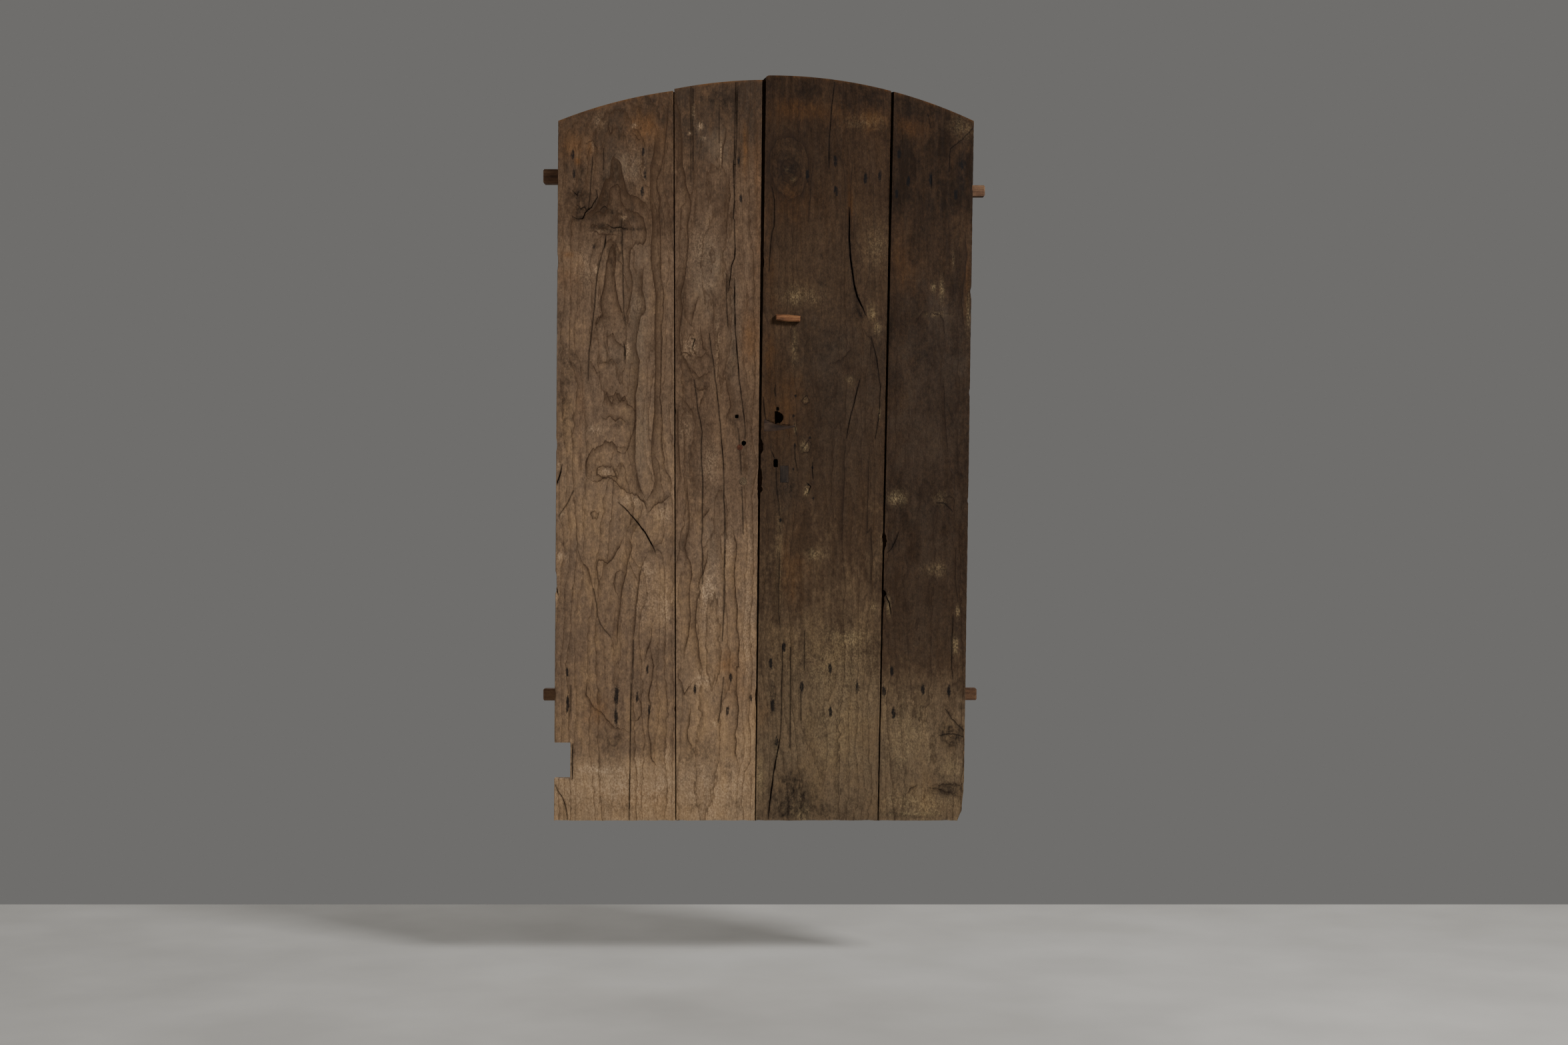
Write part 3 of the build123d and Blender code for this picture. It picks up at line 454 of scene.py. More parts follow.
def leaf_oak(name, tones, line_depth, unevenness, seed):
    """Flat-sawn oak, weathered dry and matt: soft wood worn away between the harder growth lines,
    fine upright fibres, iron stains round the nails and open drying cracks. The cracks, a strip beside
    them and the holes are darkened with painted shade."""
    material, tree = blank_material(name)
    place = add(tree, "TexCoord", out="Object")
    split = add(tree, "SeparateXYZ", {"Vector": place}).node.outputs
    marks = {}
    for mark in ("across", "rings", "crack_side", "crack_half", "line_side", "line_half",
                 "band", "bleach", "iron", "soot", "pale", "warm", "grey", "rim", "hole"):
        marks[mark] = add(tree, "Attribute", out="Fac", attribute_name=mark)
    flow = add(tree, "CombineXYZ", {"X": marks["across"], "Y": split["Y"], "Z": split["Z"]})

    # Each pattern's width across the grain and length along it, in millimetres. Real fibres are about
    # 0.5 wide and real pores and pits about 1. Both are drawn coarser, or they wouldn't show.
    noise = {}
    patterns = (("fibre", 2.1, 34, 4.0, 0.66), ("streak", 9, 150, 4.0, 0.6), ("cloud", 60, 120, 5.0, 0.62),
                ("fleck", 3.4, 4.8, 4.0, 0.75), ("jag", 5, 34, 3.0, 0.6), ("grime", 13, 19, 6.0, 0.74))
    for k, (pattern, width, length, detail, roughness) in enumerate(patterns):
        stretched = add(tree, "Mapping", {
            "Vector": flow, "Location": (seed + 3.1 * k, 0, 1.7 * k),
            "Scale": (1000 / width, 1000 / (3 * width), 1000 / length)})
        noise[pattern] = add(tree, "TexNoise", {
            "Vector": stretched, "Scale": 1.0, "Detail": detail, "Roughness": roughness})

    # Values that follow a pattern from low to high, as they go from first to last
    follows = {}
    for key, source, low, high, first, last in (
            ("line_shake", noise["grime"], 0.0, 1.0, -4.0, 4.0),
            ("line_worn", noise["grime"], 0.35, 0.6, 0.4, 0.95),
            ("band_worn", noise["streak"], 0.3, 0.65, 0.5, 1.0),
            ("iron_broken", noise["fleck"], 0.3, 0.7, 0.25, -0.55),
            # crack_depth: wider cracks are painted darker inside, which is painted shade
            ("crack_depth", marks["crack_half"], 0.25, 0.9, 0.55, 1.0),
            ("roughness", noise["streak"], 0.3, 0.7, 0.86, 0.70)):
        follows[key] = add(tree, "MapRange", {
            "Value": source, "From Min": low, "From Max": high, "To Min": first, "To Max": last})

    # Growth rings: a broad soft brown band that ends in a thin dark line
    jagged = add(tree, "Math", {0: noise["jag"], 1: 0.5, 2: marks["rings"]}, operation="MULTIPLY_ADD")
    ring_share = add(tree, "Math", {0: jagged}, operation="FRACT")
    ring_number = add(tree, "Math", {0: jagged}, operation="FLOOR")
    ring_strength = add(tree, "TexWhiteNoise", {"W": ring_number}, noise_dimensions="1D")
    ring_shape = add(tree, "ValToRGB", {"Fac": ring_share}, stops=(
        (0.0, 0.55), (0.05, 0.0), (0.45, 0.0), (0.86, 0.45), (0.93, 1.0), (1.0, 1.0)))
    ring_power = add(tree, "MapRange", {"Value": ring_strength, "To Min": 0.12, "To Max": line_depth})
    ring = add(tree, "Math", {0: ring_shape, 1: ring_power}, operation="MULTIPLY")

    # The lines that stand out, with their soft side, and the cracks
    line_side = add(tree, "Math", {0: marks["line_side"], 1: follows["line_shake"]}, operation="ADD")
    gaps = []
    for side, half, jag in ((line_side, marks["line_half"], 1.4),
                            (marks["crack_side"], marks["crack_half"], 0.9)):
        away = add(tree, "Math", {0: side}, operation="ABSOLUTE")
        ragged = add(tree, "Math", {0: noise["fleck"], 1: jag, 2: away}, operation="MULTIPLY_ADD")
        gaps.append(add(tree, "Math", {0: ragged, 1: half}, operation="SUBTRACT"))
    line_gap, crack_gap = gaps
    drawn = []
    for gap, near, far, most in ((line_gap, 0.2, 1.7, 1.0), (crack_gap, -0.1, 1.2, follows["crack_depth"]),
                                 (crack_gap, 0.5, 5.0, 0.5)):
        drawn.append(add(tree, "MapRange", {
            "Value": gap, "From Min": near, "From Max": far, "To Min": most, "To Max": 0.0}))
    line, crack, crack_shadow = drawn
    line = add(tree, "Math", {0: line, 1: follows["line_worn"]}, operation="MULTIPLY")
    band = add(tree, "Math", {0: marks["band"], 1: follows["band_worn"]}, operation="MULTIPLY")
    figure = add(tree, "Math", {0: ring, 1: band}, operation="MAXIMUM")

    # Colour, from the widest variation down to the cracks
    # Lightness up the plank: lighter towards the foot, and below zero near the top, where it paints shade
    tone = add(tree, "Math", {0: marks["bleach"], 1: 0.5}, operation="MULTIPLY")
    for pattern, part in (("streak", 0.4), ("cloud", 1.2), ("grime", 0.8)):
        tone = add(tree, "Math", {0: noise[pattern], 1: part * unevenness, 2: tone}, operation="MULTIPLY_ADD")
    middle = 1.2 * unevenness
    colour = add(tree, "ValToRGB", {"Fac": tone}, stops=(
        (middle - 0.12, linear(tones["deepest"])), (middle + 0.02, linear(tones["sheltered"])),
        (middle + 0.26, linear(tones["body"])), (middle + 0.56, linear(tones["bleached"]))))
    for mark, hue, breakup, low, high, most in (
            ("grey", "grey", "cloud", 0.35, 0.60, 0.95), ("warm", "warm", "cloud", 0.30, 0.60, 0.9),
            ("pale", "pale", "fleck", 0.46, 0.57, 1.0), ("rim", "warm", "cloud", 0.25, 0.60, 0.8),
            ("soot", "soot", "grime", 0.62, 0.35, 0.95)):
        broken = add(tree, "MapRange", {
            "Value": noise[breakup], "From Min": low, "From Max": high, "To Min": 0.25, "To Max": most})
        share = add(tree, "Math", {0: marks[mark], 1: broken}, operation="MULTIPLY")
        colour = add(tree, "Mix", {"Factor": share, "A": colour, "B": linear(tones[hue])}, data_type="RGBA")
    for pattern, stops in (
            ("fibre", ((0.28, 0.84), (0.45, 0.97), (0.60, 1.02), (0.75, 1.10))),
            ("fleck", ((0.30, 0.60), (0.46, 0.94), (0.56, 1.05), (0.70, 1.36))),
            ("grime", ((0.30, (0.76, 0.75, 0.75, 1.0)), (0.47, (0.96, 0.96, 0.95, 1.0)),
                       (0.70, (1.18, 1.15, 1.10, 1.0)))),
            ("cloud", ((0.36, (0.97, 0.995, 1.02, 1.0)), (0.50, 1.0), (0.64, (1.03, 1.01, 0.96, 1.0))))):
        shade = add(tree, "ValToRGB", {"Fac": noise[pattern]}, stops=stops)
        colour = add(tree, "Mix", {"Factor": 1.0, "A": colour, "B": shade}, **multiplied)
    iron = add(tree, "Math", {0: noise["jag"], 1: -1.3, 2: follows["iron_broken"]}, operation="MULTIPLY_ADD")
    iron = add(tree, "Math", {0: marks["iron"], 1: 1.5, 2: iron}, operation="MULTIPLY_ADD")
    iron = add(tree, "MapRange", {
        "Value": iron, "From Min": -0.3, "From Max": 0.7, "To Min": 0.0, "To Max": 0.92})
    # The figure, the growth lines and the iron stains are the wood's own colours. The crack shadow beside the
    # cracks, the near-black in the cracks and the near-black in the holes are painted shade.
    for amount, hue in ((figure, tones["ring"]), (line, tones["line"]), (crack_shadow, tones["soot"]),
                        (iron, tones["iron"]), (crack, "070504"), (marks["hole"], "060403")):
        colour = add(tree, "Mix", {"Factor": amount, "A": colour, "B": linear(hue)}, data_type="RGBA")

    # Relief: fibres and rings stand up by a fraction of a millimetre, and cracks sink
    height = ring
    for part, rise in ((noise["fibre"], 0.9), (noise["fleck"], 0.5), (noise["grime"], 1.3), (crack, -5.0)):
        height = add(tree, "Math", {0: part, 1: rise, 2: height}, operation="MULTIPLY_ADD")
    shine = add(tree, "MapRange", {"Value": crack, "To Min": 0.17, "To Max": 0.0})
    surfaced(tree, height, 0.85, 0.6, {
        "Base Color": colour, "Roughness": follows["roughness"], "IOR": 1.5, "Specular IOR Level": shine})
    return material


def end_grain(name, tones, centre, plane, spacing):
    """Sawn end grain: curved growth lines round the tree's heart, open pores, grey and thirsty.

    Real pores are about 0.3 mm wide and are drawn 1.6, or they wouldn't show.
    """
    material, tree = blank_material(name)
    deep, body, light, line = (linear(tone) for tone in tones)
    place = add(tree, "TexCoord", out="Object")
    moved = add(tree, "VectorMath", {0: place, 1: centre}, operation="SUBTRACT")
    flat = add(tree, "VectorMath", {0: moved, 1: plane}, operation="MULTIPLY")
    reach = add(tree, "VectorMath", {0: flat}, operation="LENGTH")
    wave, pores, stain = (
        add(tree, "TexNoise", {"Vector": place, "Scale": 1000 / width, "Detail": detail})
        for width, detail in ((16, 3.0), (1.6, 2.0), (22, 4.0)))
    rings = add(tree, "Math", {0: reach, 1: 1000 / spacing, 2: wave}, operation="MULTIPLY_ADD")
    share = add(tree, "Math", {0: rings}, operation="FRACT")
    ring = add(tree, "ValToRGB", {"Fac": share}, stops=(
        (0.0, 0.35), (0.12, 0.0), (0.6, 0.1), (0.95, 0.75), (1.0, 0.7)))
    colour = add(tree, "ValToRGB", {"Fac": stain}, stops=((0.35, deep), (0.52, body), (0.68, light)))
    colour = add(tree, "Mix", {"Factor": ring, "A": colour, "B": line}, data_type="RGBA")
    pore_tone = add(tree, "ValToRGB", {"Fac": pores}, stops=((0.36, 0.35), (0.46, 0.95), (0.7, 1.1)))
    colour = add(tree, "Mix", {"Factor": 0.9, "A": colour, "B": pore_tone}, **multiplied)
    height = add(tree, "Math", {0: pores, 1: 1.5, 2: ring}, operation="MULTIPLY_ADD")
    surfaced(tree, height, 0.8, 0.4, {
        "Base Color": colour, "Roughness": 0.85, "IOR": 1.5, "Specular IOR Level": 0.3})
    return material


def board_wood(name, tones, along, fibre, gloss, relief):
    """A wooden fitting with its grain along one axis: riven or whittled, with handling marks and dirt.

    fibre and relief are in millimetres. Real fibres are about 0.5 wide and are drawn coarser, to show.
    """
    material, tree = blank_material(name)
    deep, body, light = (linear(tone) for tone in tones)
    place = add(tree, "TexCoord", out="Object")
    noise = {}
    patterns = (("fibre", fibre, 40 * fibre, 3.0), ("streak", 5 * fibre, 90 * fibre, 3.0),
                ("cloud", 26, 60, 4.0), ("fleck", 2.2, 3.0, 2.0))
    for pattern, width, length, detail in patterns:
        scale = [1000 / width] * 3
        scale[along] = 1000 / length
        stretched = add(tree, "Mapping", {"Vector": place, "Scale": tuple(scale)})
        noise[pattern] = add(tree, "TexNoise", {
            "Vector": stretched, "Scale": 1.0, "Detail": detail, "Roughness": 0.6})
    tone = add(tree, "Math", {0: noise["streak"], 1: 0.6, 2: noise["cloud"]}, operation="MULTIPLY_ADD")
    colour = add(tree, "ValToRGB", {"Fac": tone}, stops=((0.60, deep), (0.78, body), (0.97, light)))
    for pattern, share, stops in (("fibre", 1.0, ((0.32, 0.55), (0.48, 0.96), (0.72, 1.2))),
                                  ("fleck", 0.8, ((0.32, 0.72), (0.5, 1.0), (0.7, 1.08)))):
        shade = add(tree, "ValToRGB", {"Fac": noise[pattern]}, stops=stops)
        colour = add(tree, "Mix", {"Factor": share, "A": colour, "B": shade}, **multiplied)
    height = add(tree, "Math", {0: noise["streak"], 1: 1.4, 2: noise["fibre"]}, operation="MULTIPLY_ADD")
    roughness = add(tree, "MapRange", {
        "Value": noise["cloud"], "From Min": 0.35, "From Max": 0.65, "To Min": gloss + 0.12, "To Max": gloss})
    surfaced(tree, height, 0.9, relief, {
        "Base Color": colour, "Roughness": roughness, "IOR": 1.5, "Specular IOR Level": 0.35})
    return material


def forged_iron(name, tones, bare):
    """Hammered iron gone black, with dull rust in its hollows: dark, uneven, barely shining.

    bare is how much of a metal the cleanest places still look. Real rust grit is about 0.2 mm wide and
    is drawn 0.9, or it wouldn't show.
    """
    material, tree = blank_material(name)
    place = add(tree, "TexCoord", out="Object")
    hammer, rust, grit = (
        add(tree, "TexNoise", {"Vector": place, "Scale": 1000 / width, "Detail": detail, "Roughness": rough})
        for width, detail, rough in ((7, 3.0, 0.5), (4, 5.0, 0.7), (0.9, 2.0, 0.5)))
    rusted = add(tree, "MapRange", {"Value": rust, "From Min": 0.46, "From Max": 0.62})
    colour = add(tree, "ValToRGB", {"Fac": rusted}, stops=[
        (0.5 * k, linear(tone)) for k, tone in enumerate(tones)])
    metal = add(tree, "MapRange", {"Value": rusted, "To Min": bare, "To Max": 0.1 * bare})
    roughness = add(tree, "MapRange", {"Value": rust, "To Min": 0.45, "To Max": 0.95})
    height = add(tree, "Math", {0: hammer, 1: 2.5, 2: grit}, operation="MULTIPLY_ADD")
    surfaced(tree, height, 0.8, 0.6, {"Base Color": colour, "Metallic": metal, "Roughness": roughness})
    return material


# The soot tone colours both the soot marks and the painted shadow beside the cracks
left_tones = {
    "deepest": "45362A", "sheltered": "5C4736", "body": "7B6450", "bleached": "A08466", "pale": "BC9F80",
    "warm": "7E5632", "grey": "766859", "soot": "2B2017", "ring": "3F2B1A", "line": "352417", "iron": "1B1716"}
right_tones = {
    "deepest": "25180D", "sheltered": "3A291B", "body": "4D3B2B", "bleached": "715E49", "pale": "998563",
    "warm": "63401F", "grey": "44382E", "soot": "1B1410", "ring": "2A1C12", "line": "180F09", "iron": "0E0D0F"}
left_oak = leaf_oak("weathered_flat_sawn_oak", left_tones, 0.6, 0.4, 4.0)
right_oak = leaf_oak("smoke_darkened_flat_sawn_oak", right_tones, 0.55, 0.42, 19.0)
plane_of_top, plane_of_face = (1.0, 1.0, 0.0), (1.0, 0.0, 1.0)
left_end_oak = end_grain("weathered_oak_end_grain", ("47382A", "7B6450", "96785C", "3F2B1A"),
                         (-0.33, 0.09, 0), plane_of_top, 6.5)
right_end_oak = end_grain("darkened_oak_end_grain", ("2A1F17", "4D3B2B", "695540", "2A1C12"),
                          (0.22, 0.10, 0), plane_of_top, 6.5)

# Left outer plank
left_outer_cracks = [
    (1.9, -512, 1622, -500, 1615, -486, 1617, -481, 1632, -474, 1641, -463, 1646, -456, 1662, -447, 1674,
     -451, 1694),
    (1.4, -499, 1652, -491, 1642, -483, 1650, -476, 1640), (1.3, -512, 1690, -503, 1680, -498, 1690),
    (1.6, -421, 1600, -404, 1592, -388, 1595, -368, 1588), (1.2, -438, 1640, -428, 1652, -421, 1644),
    (2.4, -514.4, 206, -515.4, 160, -514.6, 114),
    (1.0, -460, 1780, -463, 1739, -466, 1698, -468, 1667, -473, 1637),
    (0.7, -430, 1805, -430, 1770, -431, 1749), (1.6, -424, 1573, -427, 1547, -430, 1537),
    (0.9, -430, 1537, -441, 1501, -449, 1460, -453, 1409, -458, 1358, -463, 1307, -470, 1256, -472, 1184),
    (0.9, -383, 1614, -381, 1583, -381, 1537, -378, 1501, -378, 1435, -376, 1389, -376, 1363, -371, 1332),
    (2.4, -376, 1281, -373, 1261, -373, 1240), (2.2, -542, 956, -547, 931, -558, 900, -564, 885),
    (0.9, -512, 885, -527, 854, -540, 834, -550, 818),
    (3.0, -389, 854, -363, 829, -338, 798, -317, 770, -304, 747, -292, 724),
    (0.7, -458, 622, -455, 611, -450, 586, -448, 555, -440, 529, -430, 514, -412, 494),
    (2.6, -563, 642, -558, 627, -552, 606), (0.8, -350, 483, -352, 381),
    (1.5, -356, 368, -358, 312, -359, 210, -360, 128, -362, 5),
    (1.5, -560, 95, -552, 77, -540, 61, -532, 36, -527, 5), (0.6, -518, 363, -519, 292),
]
left_outer_figure = [
    (0.7, 7, -431, 1295, -420, 1303, -408, 1306, -398, 1290, -390, 1283, -376, 1272, -368, 1256),
    (0.9, 8, -434, 1112, -428, 1136, -422, 1148, -414, 1130, -408, 1121, -402, 1142, -397, 1152, -391, 1136,
     -386, 1127, -378, 1140, -372, 1139, -365, 1122, -359, 1112),
    (0.8, -7, -436, 1090, -424, 1080, -412, 1086, -398, 1074, -384, 1080, -368, 1068),
    (0.6, 6, -440, 1226, -430, 1236, -419, 1228, -409, 1238, -396, 1228, -384, 1234),
    (0.8, 5, -256, 1926, -258, 1877, -264, 1831, -269, 1780, -276, 1749, -287, 1719, -285, 1688, -278, 1667,
     -281, 1637, -278, 1596, -278, 1568, -278, 1486, -274, 1445, -268, 1409, -270, 1368, -275, 1327,
     -274, 1286, -275, 1225, -276, 1171, -278, 1135, -274, 1074, -273, 1003, -268, 977, -269, 951, -262, 933,
     -253, 923, -248, 905, -252, 893),
    (0.6, -13, -291, 1846, -296, 1785, -305, 1759, -304, 1698, -307, 1667, -300, 1626, -299, 1596, -302, 1563,
     -304, 1511, -297, 1460, -289, 1409, -293, 1358, -293, 1307, -291, 1256, -292, 1182, -293, 1141,
     -296, 1059, -300, 1023, -302, 987, -301, 956, -294, 926, -293, 910, -297, 895, -304, 875, -316, 860),
    (1.0, 17, -491, 1616, -473, 1632, -453, 1644, -445, 1662, -435, 1693, -427, 1719, -417, 1726, -412, 1739,
     -410, 1770, -404, 1782, -391, 1775, -384, 1759, -379, 1729, -371, 1703, -363, 1683, -343, 1675,
     -327, 1667, -315, 1652, -304, 1637),
    (0.8, 7, -468, 1616, -460, 1624, -445, 1637, -430, 1632, -422, 1642, -417, 1667, -414, 1698, -404, 1706,
     -391, 1708, -385, 1698, -383, 1667, -376, 1647, -358, 1639, -338, 1632, -325, 1621, -316, 1583,
     -318, 1563, -325, 1547, -343, 1550, -356, 1537, -360, 1517, -362, 1486, -355, 1465, -352, 1440,
     -356, 1409, -360, 1384, -368, 1363, -376, 1343),
    (0.7, 15, -322, 1496, -325, 1460, -327, 1424, -320, 1394, -318, 1378, -333, 1348, -340, 1307, -343, 1266,
     -335, 1235, -339, 1184, -345, 1141, -343, 1079, -345, 1033, -347, 982, -344, 946, -338, 916, -330, 890,
     -316, 860),
    (0.9, 11, -450, 1322, -448, 1338, -435, 1358, -438, 1384, -435, 1409, -430, 1435, -426, 1465, -421, 1501,
     -414, 1532, -407, 1545, -400, 1537, -398, 1506, -402, 1465, -397, 1424, -391, 1394, -384, 1373,
     -376, 1343),
    (0.8, 3, -473, 1588, -460, 1598, -430, 1593, -414, 1586),
    (0.8, 3, -389, 1572, -420, 1573, -455, 1580, -473, 1588),
    (0.6, 4, -414, 1355, -445, 1353, -451, 1338, -449, 1317), (0.4, 4, -420, 1322, -421, 1281, -417, 1256),
    (0.5, 4, -468, 1235, -455, 1220, -449, 1205, -435, 1202),
    (0.8, 7, -425, 1138, -407, 1142, -386, 1146, -381, 1135, -366, 1120, -345, 1100, -343, 1084, -347, 1064,
     -350, 1043, -358, 1023, -363, 1003, -375, 981),
    (0.9, -8, -375, 981, -384, 985, -391, 992, -397, 1003, -407, 1015, -425, 1018, -440, 1008, -460, 997,
     -468, 987, -476, 967, -478, 946, -478, 926, -470, 915),
    (0.9, -7, -470, 915, -445, 908, -425, 921, -409, 916, -394, 905, -379, 890, -368, 880, -353, 880,
     -338, 870, -320, 849, -312, 826),
    (0.8, -5, -449, 931, -448, 946, -430, 951, -407, 950, -402, 936, -395, 923, -414, 925, -435, 920,
     -449, 931),
    (0.9, 9, -243, 877, -256, 872, -276, 854, -297, 844, -312, 826),
    (0.5, 3, -466, 824, -455, 831, -443, 824, -448, 811, -460, 811, -466, 824),
    (0.7, 5, -376, 765, -386, 739, -399, 719, -412, 701, -420, 688, -430, 696, -445, 698, -449, 683,
     -446, 652, -440, 622),
    (0.7, 6, -376, 765, -363, 760, -353, 739, -358, 714, -366, 693, -371, 662, -379, 632, -384, 601,
     -386, 570, -391, 524, -394, 473),
    (0.5, -4, -379, 662, -386, 675, -399, 668, -403, 642, -399, 616, -391, 601),
    (0.5, 5, -312, 714, -325, 688, -333, 662, -338, 622, -343, 586, -350, 483),
    (0.7, 3, -307, 468, -302, 443, -297, 412, -297, 414, -304, 363, -310, 333, -304, 312, -308, 287,
     -312, 246, -304, 210, -304, 174, -287, 143),
    (0.6, 3, -302, 514, -304, 483, -312, 458, -320, 422),
    (0.6, 4, -473, 384, -478, 338, -460, 307, -435, 287, -404, 251, -363, 240),
    (0.5, 3, -340, 338, -330, 317, -327, 292, -338, 271, -358, 271),
    (0.5, 5, -499, 729, -489, 698, -473, 678, -463, 637, -460, 616),
    (0.7, 4, -414, 1882, -417, 1862, -412, 1841, -407, 1846, -404, 1877),
    (0.7, 4, -353, 1846, -343, 1841, -333, 1828, -327, 1834),
    (0.7, 4, -478, 1821, -460, 1828, -449, 1805, -448, 1785),
]
left_outer_nails = [(-513, 1791), (-510, 1739), (-324, 1793), (-318, 1735), (-327, 1691), (-527, 397),
    (-527, 325), (-529, 302), (-397, 337), (-397, 282), (-313, 405), (-340, 334), (-308, 297)]
left_outer_look = grained(
    pith=[(0, -392, 28), (480, -398, 12), (760, -380, 40), (1080, -396, 64), (1420, -402, 34),
        (1780, -399, 96), (2000, -392, 150)],
    spacing=19.0,
    swells=[(-386, 1064, 26, 60, 2.2), (-436, 950, 24, 54, 1.8), (-300, 1080, 20, 150, 1.2),
        (-350, 740, 40, 60, 1.0)],
    knots=[(-284, 735, 14)],
    cracks=left_outer_cracks, figure=left_outer_figure, heads=left_outer_nails,
    smudges=nail_stains(left_outer_nails, 2.2, 8.0, 0.8) + [(-455, 1542, 9, 10, 0.7),
        (-396, 337, 7, 20, 0.9), (-396, 300, 4, 60, 0.5), (-396, 277, 5, 9, 0.7)],
    soot=[(-497, 1644, 13, 34, 1.5), (-428, 1658, 24, 20, 1.3), (-491, 1742, 6, 32, 1.3),
        (-430, 1690, 9, 32, 1.3), (-436, 1594, 34, 8, 1.3), (-350, 1588, 34, 6, 1.1),
        (-400, 1530, 12, 42, 1.0), (-395, 1736, 12, 34, 1.1), (-540, 1120, 12, 90, 0.5),
        (-545, 1270, 10, 60, 0.4), (-520, 44, 30, 26, 0.35), (-410, 40, 60, 16, 0.45),
        (-312, 1913, 60, 30, 0.55), (-378, 1841, 20, 7, 0.5), (-496, 1681, 26, 12, 0.9),
        (-497, 1616, 18, 6, 1.05), (-404, 1745, 12, 26, 0.6), (-400, 1628, 20, 22, 0.83),
        (-440, 1632, 24, 14, 0.6), (-400, 1588, 26, 10, 0.75), (-380, 1550, 7, 60, 0.75),
        (-406, 1520, 9, 36, 0.68), (-399, 1350, 32, 6, 0.45), (-404, 1233, 28, 7, 0.4),
        (-519, 1235, 18, 50, 0.45), (-538, 1363, 20, 16, 0.3), (-444, 1330, 8, 18, 0.4),
        (-534, 1105, 24, 110, 0.4), (-386, 1072, 24, 13, 0.55), (-358, 798, 24, 20, 0.7),
        (-298, 730, 14, 14, 0.6), (-539, 741, 14, 18, 0.4), (-545, 570, 20, 40, 0.3),
        (-404, 209, 36, 30, 0.6), (-310, 194, 24, 26, 0.4)],
    pale=[(-518.2, 150, 1.6, 44, 1.6), (-443, 1878, 14, 18, 0.3), (-348, 1865, 8, 5, 0.6),
        (-460, 1812, 4, 14, 0.5), (-378, 1617, 7, 7, 0.6), (-353, 1760, 34, 60, 0.18),
        (-430, 1583, 40, 6, 0.3), (-449, 1480, 5, 7, 0.8), (-366, 1266, 5, 22, 0.9), (-337, 1389, 9, 30, 0.4),
        (-480, 1486, 30, 40, 0.25), (-450, 1050, 26, 10, 0.5), (-271, 829, 22, 20, 0.7),
        (-353, 860, 30, 16, 0.5), (-424, 936, 22, 12, 0.5), (-548, 955, 6, 10, 0.6), (-545, 824, 6, 8, 0.7),
        (-547, 712, 12, 10, 0.8), (-317, 675, 24, 18, 0.5), (-558, 608, 4, 24, 0.9),
        (-304, 595, 50, 70, 0.35), (-266, 570, 10, 40, 0.5), (-380, 75, 150, 60, 0.8),
        (-437, 138, 70, 10, 0.8), (-338, 152, 14, 16, 0.6), (-261, 163, 12, 30, 0.7)],
    warm=[(-312, 1864, 46, 44, 0.55), (-499, 1769, 9, 11, 0.8), (-517, 1818, 34, 36, 0.4),
        (-462, 1808, 12, 24, 0.5), (-524, 1521, 14, 8, 0.5), (-517, 1460, 34, 40, 0.3),
        (-491, 1100, 10, 110, 0.3), (-447, 291, 30, 36, 0.55), (-330, 66, 90, 26, 0.3)],
    grey=[(-340, 1340, 26, 170, 0.6), (-330, 1020, 24, 110, 0.5), (-400, 1250, 40, 40, 0.4),
        (-380, 1755, 40, 40, 0.5)],
    # Lighter towards the foot; the values below zero at the top paint shade
    bleach=[(0, 1.2), (120, 1.12), (200, 0.66), (400, 0.58), (900, 0.69), (1200, 0.46), (1480, 0.4),
        (1640, 0.08), (2000, -0.12)],
    seed=100)
plank("left_outer_board", "left_outer_plank", [left_oak, left_end_oak],
      (-563.95, 12.0), (-237.95, -5.5), arched(-76.45, 1971.5), ("plain", "tongue"),
      ([(640, 30, 4), (1010, 16, 2.5), (340, 12, 2), (1500, 22, 2)], [(300, 8, 1.6)]), [], left_outer_look,
      notch=(113.0, 210.0, 43.0))

# Left inner plank
left_inner_cracks = [
    (0.6, -196, 1969, -196, 1719), (0.5, -190, 1964, -190, 1749), (0.5, -120, 1923, -120, 1821),
    (1.5, -76, 1982, -77, 1898, -79, 1821, -82, 1739, -79, 1667, -82, 1616, -79, 1614, -79, 1573),
    (1.1, -70, 1982, -72, 1898, -74, 1831, -77, 1770, -79, 1698),
    (2.0, -79, 1583, -77, 1537, -79, 1511, -87, 1491, -91, 1460, -95, 1424),
    (2.2, -79, 1455, -79, 1409, -78, 1358, -77, 1317, -73, 1266, -69, 1225, -67, 1184),
    (0.9, -100, 1465, -101, 1409, -100, 1368, -97, 1327),
    (1.2, -187, 1184, -184, 1161, -180, 1125, -177, 1100, -171, 1074, -166, 1043, -169, 997, -166, 946,
     -164, 895, -166, 844, -165, 772),
    (1.3, -146, 1307, -142, 1266, -136, 1235, -133, 1205, -131, 1184, -128, 1171, -124, 1130, -120, 1089,
     -115, 1038, -112, 997, -108, 956, -107, 916, -108, 864, -105, 813, -105, 790, -105, 729, -107, 662,
     -107, 586, -110, 524, -112, 483),
    (1.2, -69, 1202, -64, 1166, -59, 1130, -54, 1089, -50, 1049, -51, 1026),
    (1.1, -69, 1054, -66, 1023, -63, 972, -61, 931), (0.9, -59, 895, -58, 844, -56, 772),
    (0.8, -166, 790, -168, 749, -165, 714, -165, 662, -166, 637),
    (0.7, -108, 384, -113, 338, -118, 292, -123, 266), (2.6, -192, 1295, -185, 1293, -189, 1281, -192, 1268),
]
